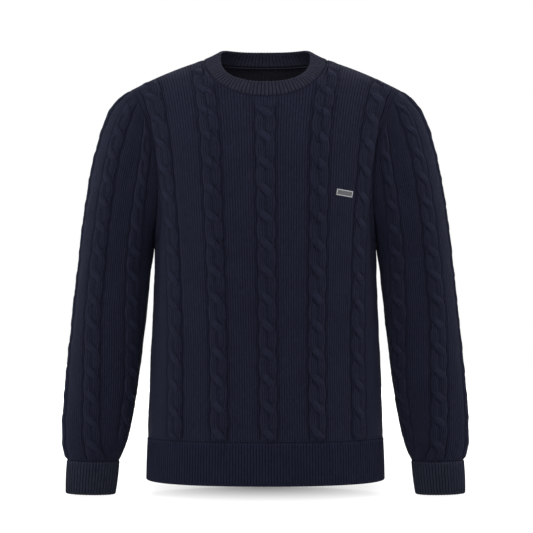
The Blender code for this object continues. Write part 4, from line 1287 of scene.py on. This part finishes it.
class Value:
    """A number in a shader, with plain arithmetic."""

    def __init__(self, tree, socket):
        self.tree = tree
        self.socket = socket

    def do(self, operation, *others):
        sources = [other.socket if isinstance(other, Value) else other for other in others]
        return Value(self.tree, add(self.tree, "Math", self.socket, *sources, operation=operation))

    def __add__(self, other):
        return self.do("ADD", other)

    def __sub__(self, other):
        return self.do("SUBTRACT", other)

    def __mul__(self, other):
        return self.do("MULTIPLY", other)

    def __pow__(self, other):
        return self.do("POWER", other)

    def flip(self):
        """One minus the number."""
        return (self * -1.0) + 1.0


# Grains to the metre of the unevenness of stitches and rows, of the dye, the tufts and the fibre
STITCH_GRAINS = 130.0
ROW_GRAINS = 90.0
DYE_GRAINS = 26.0
TUFT_GRAINS = 260.0
FIBRE_GRAINS = 2600.0
# How far stitches wander in millimetres, how steep a stitch's legs are, how high a purl arc is
KNIT_WANDER = 0.9
PURL_WANDER = 0.8
STITCH_SLANT = 0.72
PURL_ARC = 0.32
# How much the tone varies with the dye, the tufts, the fibre and the streaks along the wales
DYE_VARIES = 0.34
TUFT_VARIES = 0.9
FIBRE_VARIES = 0.5
STREAK_VARIES = 0.9
STREAK_ACROSS = 0.55
STREAK_UP = 0.1
FIBRE_HEIGHT = 0.22
# How much lighter than its colour the painted highlight may make a raised strand
HEADROOM = 1.5
# The tab's threads and the middle and half width of its pale edge, in millimetres
WARP = 0.45
WEFT = 0.38
PALE_AT = 1.25
PALE_HALF = 0.42


def noise(tree, scale, detail=2.0, rough=0.5):
    """Soft noise over the object, about 0 to 1, with grains of 1/scale metres."""
    place = add(tree, "TexCoord").node.outputs["Object"]
    return Value(tree, add(tree, "TexNoise", {
        "Vector": place, "Scale": scale, "Detail": detail, "Roughness": rough}))


def stitch_places(tree, wander):
    """Millimetres across and up the stitches, a little uneven as real rows are."""
    place = add(tree, "UVMap", uv_map="stitches")
    split = add(tree, "SeparateXYZ", place).node
    across, up = (Value(tree, split.outputs[k]) for k in (0, 1))
    return (
        across + (noise(tree, STITCH_GRAINS) - 0.5) * wander,
        up + (noise(tree, ROW_GRAINS) - 0.5) * (wander * 1.6),
    )


def knit_face(tree, depth_of_centre):
    """Height of plain knit from 0 to 1: columns of V stitches with a line between columns."""
    across, up = stitch_places(tree, KNIT_WANDER)
    from_centre = ((across * (1.0 / WALE)).do("FRACT") - 0.5).do("ABSOLUTE") * 2.0
    row = (up * (1.0 / COURSE) - from_centre * STITCH_SLANT).do("FRACT")
    leg = ((row * 2.0 - 1.0) ** 2.0).flip()
    between = (from_centre ** 2.6).flip()
    centre = ((from_centre.flip() ** 4.0) * depth_of_centre).flip()
    return between * centre * (leg.do("MAXIMUM", 0.0) * 0.5 + 0.5)


def purl_face(tree):
    """Height of the purl side from 0 to 1: interlocked low arcs, row above row."""
    across, up = stitch_places(tree, PURL_WANDER)
    arc = (across * (2.0 * math.pi / WALE)).do("SINE") * PURL_ARC
    row = (up * (2.0 / COURSE) + arc).do("FRACT")
    return ((row * 2.0 - 1.0) ** 2.0).flip()


def around_one(value, varies):
    """A number from 0 to 1 as a factor that varies by the given share around 1."""
    return value * varies + (1.0 - varies / 2.0)


def yarn(name, colour, shade, purl=False, stitch_depth=0.9, centre=0.2):
    """Wool and cotton yarn: near matte, with a faint pale sheen where it turns from the eye,
    painted shade between stitches and in the grooves, creases and seams of the knit, painted
    highlight on strand tops, and a slight mottle from dyeing."""
    material = bpy.data.materials.new(name)
    material.use_nodes = True
    tree = material.node_tree
    tree.nodes.clear()
    stitch = purl_face(tree) if purl else knit_face(tree, centre)
    # The painted light of each point: painted shade in creases, grooves and seams, painted
    # highlight on strand tops
    painted_light = Value(tree, add(tree, "Attribute", attribute_name="light").node.outputs["Fac"])
    fibre = noise(tree, FIBRE_GRAINS, 2.0, 0.7)
    across, up = stitch_places(tree, KNIT_WANDER)
    place = add(tree, "CombineXYZ", (across * STREAK_ACROSS).socket, (up * STREAK_UP).socket)
    streak = Value(tree, add(tree, "TexNoise", {"Vector": place, "Scale": 1.0, "Detail": 2.0}))
    mottle = around_one(noise(tree, DYE_GRAINS, 3.0), DYE_VARIES)
    mottle = mottle * around_one(noise(tree, TUFT_GRAINS), TUFT_VARIES)
    mottle = mottle * around_one(streak, STREAK_VARIES)
    # The stitch dips darken the colour as painted shade between stitches, and the painted light
    # darkens and lightens it
    tone = (stitch * 0.9 + 0.2) * (painted_light * 0.85 + 0.15) * mottle
    tone = tone * around_one(fibre, FIBRE_VARIES)
    ramp = add(tree, "ValToRGB", (tone * (1.0 / HEADROOM)).socket).node
    ramp.color_ramp.elements[0].color = linear(shade)
    ramp.color_ramp.elements[1].color = [part * HEADROOM for part in linear(colour)[:3]] + [1.0]
    height = stitch + fibre * FIBRE_HEIGHT
    relief = add(tree, "Bump", {
        "Height": height.socket, "Distance": stitch_depth * MM, "Strength": 1.0})
    shader = add(tree, "BsdfPrincipled", {
        "Base Color": ramp.outputs[0],
        "Roughness": ((stitch * -0.12) + 0.92).socket,
        "Specular IOR Level": 0.03,
        "Sheen Weight": 0.05,
        "Sheen Roughness": 0.3,
        "Sheen Tint": linear("#979cc6"),
        "Normal": relief,
    })
    add(tree, "OutputMaterial", shader)
    return material


def rib_yarn(name, colour, shade):
    """The same yarn in rib, with flatter stitches and a deeper line down the middle of a wale."""
    return yarn(name, colour, shade, stitch_depth=0.5, centre=0.5)


def woven_tab(name):
    """Satin woven tab: fine damask threads in charcoal with a pale edge, with a faint gloss."""
    material = bpy.data.materials.new(name)
    material.use_nodes = True
    tree = material.node_tree
    tree.nodes.clear()
    place = add(tree, "UVMap", uv_map="stitches")
    split = add(tree, "SeparateXYZ", place).node
    across, up = (Value(tree, split.outputs[k]) for k in (0, 1))
    warp = (across * (2.0 * math.pi / WARP)).do("SINE") * 0.5 + 0.5
    weft = (up * (2.0 * math.pi / WEFT)).do("SINE") * 0.5 + 0.5
    thread = warp * 0.5 + weft * 0.5
    from_side = ((across - BADGE_WIDTH / 2).do("ABSOLUTE") * -1.0) + BADGE_WIDTH / 2
    from_end = ((up - BADGE_HEIGHT / 2).do("ABSOLUTE") * -1.0) + BADGE_HEIGHT / 2
    inset = from_side.do("MINIMUM", from_end)
    edge = (inset - PALE_AT).do("ABSOLUTE").do("LESS_THAN", PALE_HALF)
    tone = (thread * 0.5 + 0.6) * around_one(noise(tree, 900.0), FIBRE_VARIES)
    ramp = add(tree, "ValToRGB", (edge * 0.6 * tone + tone * 0.05).socket).node
    ramp.color_ramp.elements[0].color = linear("#101119")
    ramp.color_ramp.elements[1].color = linear("#b9b9bd")
    relief = add(tree, "Bump", {"Height": thread.socket, "Distance": 0.12 * MM, "Strength": 1.0})
    shader = add(tree, "BsdfPrincipled", {
        "Base Color": ramp.outputs[0], "Roughness": 0.55, "Sheen Weight": 0.1, "Normal": relief})
    add(tree, "OutputMaterial", shader)
    return material


# ---------------------------------------------------------------- the studio

PAPER_HALF = 4.0
PAPER_HEIGHT = -0.682
PAPER_GREY = 0.25
# The painted shadow on the paper: half sizes, how far back it lies, the painted glow in its middle,
# what the glow gains over one half size, and the most it reaches
SHADE_HALF_WIDTH = 0.205
SHADE_HALF_DEPTH = 0.160
SHADE_BACK = 0.130
SHADE_GLOW = 0.02
GLOW_GAIN = 0.7
GLOW_MOST = 0.95
# Soft boxes: name, place, size in metres and power in watts
SOFT_BOXES = (
    ("soft_box_above", (-0.4, -1.75, 1.85), 1.2, 62.0),
    ("soft_box_left", (-2.4, -0.2, 0.5), 1.2, 34.0),
    ("soft_box_right", (2.4, -0.2, 0.5), 1.2, 32.0),
    ("soft_box_behind", (0.3, 2.0, 1.9), 1.4, 36.0),
    ("soft_box_behind_low", (0.0, 2.6, 0.1), 1.4, 34.0),
)
LIGHTS_AIM = (0.0, 0.0, -0.3)
# The camera's lens and film in millimetres, and where its eye stands, in metres
LENS = 129.0
FILM = 36.0
EYE = (0.0017, -3.0, -0.324)


def make_studio():
    """White paper floor with a painted glow, as if lit from below, and a painted shadow in the glow
    where the sweater nearly touches it, a white surround, and broad soft lights from above and the
    sides."""
    world = bpy.data.worlds.new("white_studio")
    bpy.context.scene.world = world
    world.use_nodes = True
    world.node_tree.nodes["Background"].inputs["Color"].default_value = (1.0, 1.0, 1.0, 1.0)
    world.node_tree.nodes["Background"].inputs["Strength"].default_value = 1.0

    mesh = bpy.data.meshes.new("paper_floor")
    half = PAPER_HALF
    mesh.from_pydata([(-half, -half, 0), (half, -half, 0), (half, half, 0), (-half, half, 0)],
                     [], [(0, 1, 2, 3)])
    paper = bpy.data.materials.new("glowing_paper_with_painted_shadow")
    paper.use_nodes = True
    tree = paper.node_tree
    tree.nodes.clear()
    split = add(tree, "SeparateXYZ", add(tree, "TexCoord").node.outputs["Object"]).node
    across = Value(tree, split.outputs[0]) * (1.0 / SHADE_HALF_WIDTH)
    back = (Value(tree, split.outputs[1]) - SHADE_BACK) * (1.0 / SHADE_HALF_DEPTH)
    away = (across ** 2.0 + back ** 2.0).do("SQRT")
    # The painted glow, least in the painted shadow under the sweater and growing outwards
    strength = (away * GLOW_GAIN + SHADE_GLOW).do("MINIMUM", GLOW_MOST).socket
    diffuse = add(tree, "BsdfDiffuse", {"Color": (PAPER_GREY, PAPER_GREY, PAPER_GREY, 1.0)})
    glow = add(tree, "Emission", {"Color": (1.0, 1.0, 1.0, 1.0), "Strength": strength})
    add(tree, "OutputMaterial", add(tree, "AddShader", diffuse, glow))
    mesh.materials.append(paper)
    stage = bpy.data.objects.new("paper_floor", mesh)
    stage.location = (0.0, 0.0, PAPER_HEIGHT)
    bpy.context.scene.collection.objects.link(stage)

    for name, place, size, power in SOFT_BOXES:
        light = bpy.data.lights.new(name, "AREA")
        light.size = size
        light.energy = power
        lamp = bpy.data.objects.new(name, light)
        lamp.location = place
        aim = Vector(LIGHTS_AIM) - Vector(place)
        lamp.rotation_euler = aim.to_track_quat("-Z", "Y").to_euler()
        bpy.context.scene.collection.objects.link(lamp)


def make_camera():
    camera = bpy.data.cameras.new("photo_camera")
    camera.lens = LENS
    camera.sensor_width = FILM
    eye = bpy.data.objects.new("photo_camera", camera)
    eye.location = EYE
    eye.rotation_euler = (math.pi / 2, 0.0, 0.0)
    bpy.context.scene.collection.objects.link(eye)
    bpy.context.scene.camera = eye
    bpy.context.scene.view_settings.view_transform = "Standard"


# ---------------------------------------------------------------- putting it together


def dress(piece, node):
    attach(piece, "root")
    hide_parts(node)


def main():
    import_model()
    make_studio()
    make_camera()

    # Painted light: the yarn of the inside is painted much lighter than that of the outside, for
    # the knit and for the rib
    knit = (
        yarn("navy_cable_knit", "#171926", "#020205"),
        yarn("navy_purl_inside_painted_light", "#33333d", "#040406", purl=True),
    )
    rib = (
        rib_yarn("navy_rib_knit", "#161826", "#020205"),
        rib_yarn("navy_rib_inside_painted_light", "#24242e", "#040406"),
    )

    front, back = BodyPanel(-1), BodyPanel(1)
    pieces = {
        "front_panel": make_panel("front_knit", front, knit, 11),
        "back_panel": make_panel("back_knit", back, knit, 23),
    }
    armhole = armhole_lines(front, back)
    pieces["left_sleeve"] = make_sleeve("left_sleeve_knit", Sleeve(1, armhole), knit, 37)
    pieces["right_sleeve"] = make_sleeve("right_sleeve_knit", Sleeve(-1, armhole), knit, 53)
    for node, piece in pieces.items():
        dress(piece, node)

    # Painted light: the neckband and the cuffs get lighter copies of the rib yarn, the neckband
    # lightest, and their insides lighter still
    neck_rib = (
        rib_yarn("navy_rib_painted_light_at_neck", "#20212c", "#040406"),
        rib_yarn("navy_rib_neck_inside_painted_light", "#2a2a34", "#050507"),
    )
    cuff_rib = (
        rib_yarn("navy_rib_painted_light_at_cuff", "#1d1f2a", "#030406"),
        rib[1],
    )

    bands = {}
    for name, side, seed in (("front", -1, 61), ("back", 1, 67)):
        rings, keep = hem_rings(side)
        bands[name + "_hem_band"] = make_band(
            name + "_hem_rib", rings[0], rings[1], BAND_WALL, rib, False, 0.4, keep=keep, seed=seed,
            relief=0.5)
    for name, side, seed in (("left", 1, 71), ("right", -1, 73)):
        rings = cuff_rings(side)
        bands[name + "_cuff"] = make_band(
            name + "_cuff_rib", rings[0], rings[1], BAND_WALL, cuff_rib, True, 0.8, seed=seed,
            relief=0.65)
    edge, seam, normals = neckband_rings(front, back)
    bands["neckband"] = make_band(
        "neck_rib", edge, seam, NECKBAND_WALL, neck_rib, True, 1.0, seam_normals=normals, seed=79,
        relief=0.7, link=0.0, calm_inside=0.9)
    for node, piece in bands.items():
        dress(piece, node)

    seams = make_seams(seam_paths(front, back, armhole, seam, normals), rib)
    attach(seams, "root")

    threads = woven_tab("charcoal_woven_tab")
    tab = make_tab(front, (threads, threads))
    dress(tab, "chest_badge")


main()
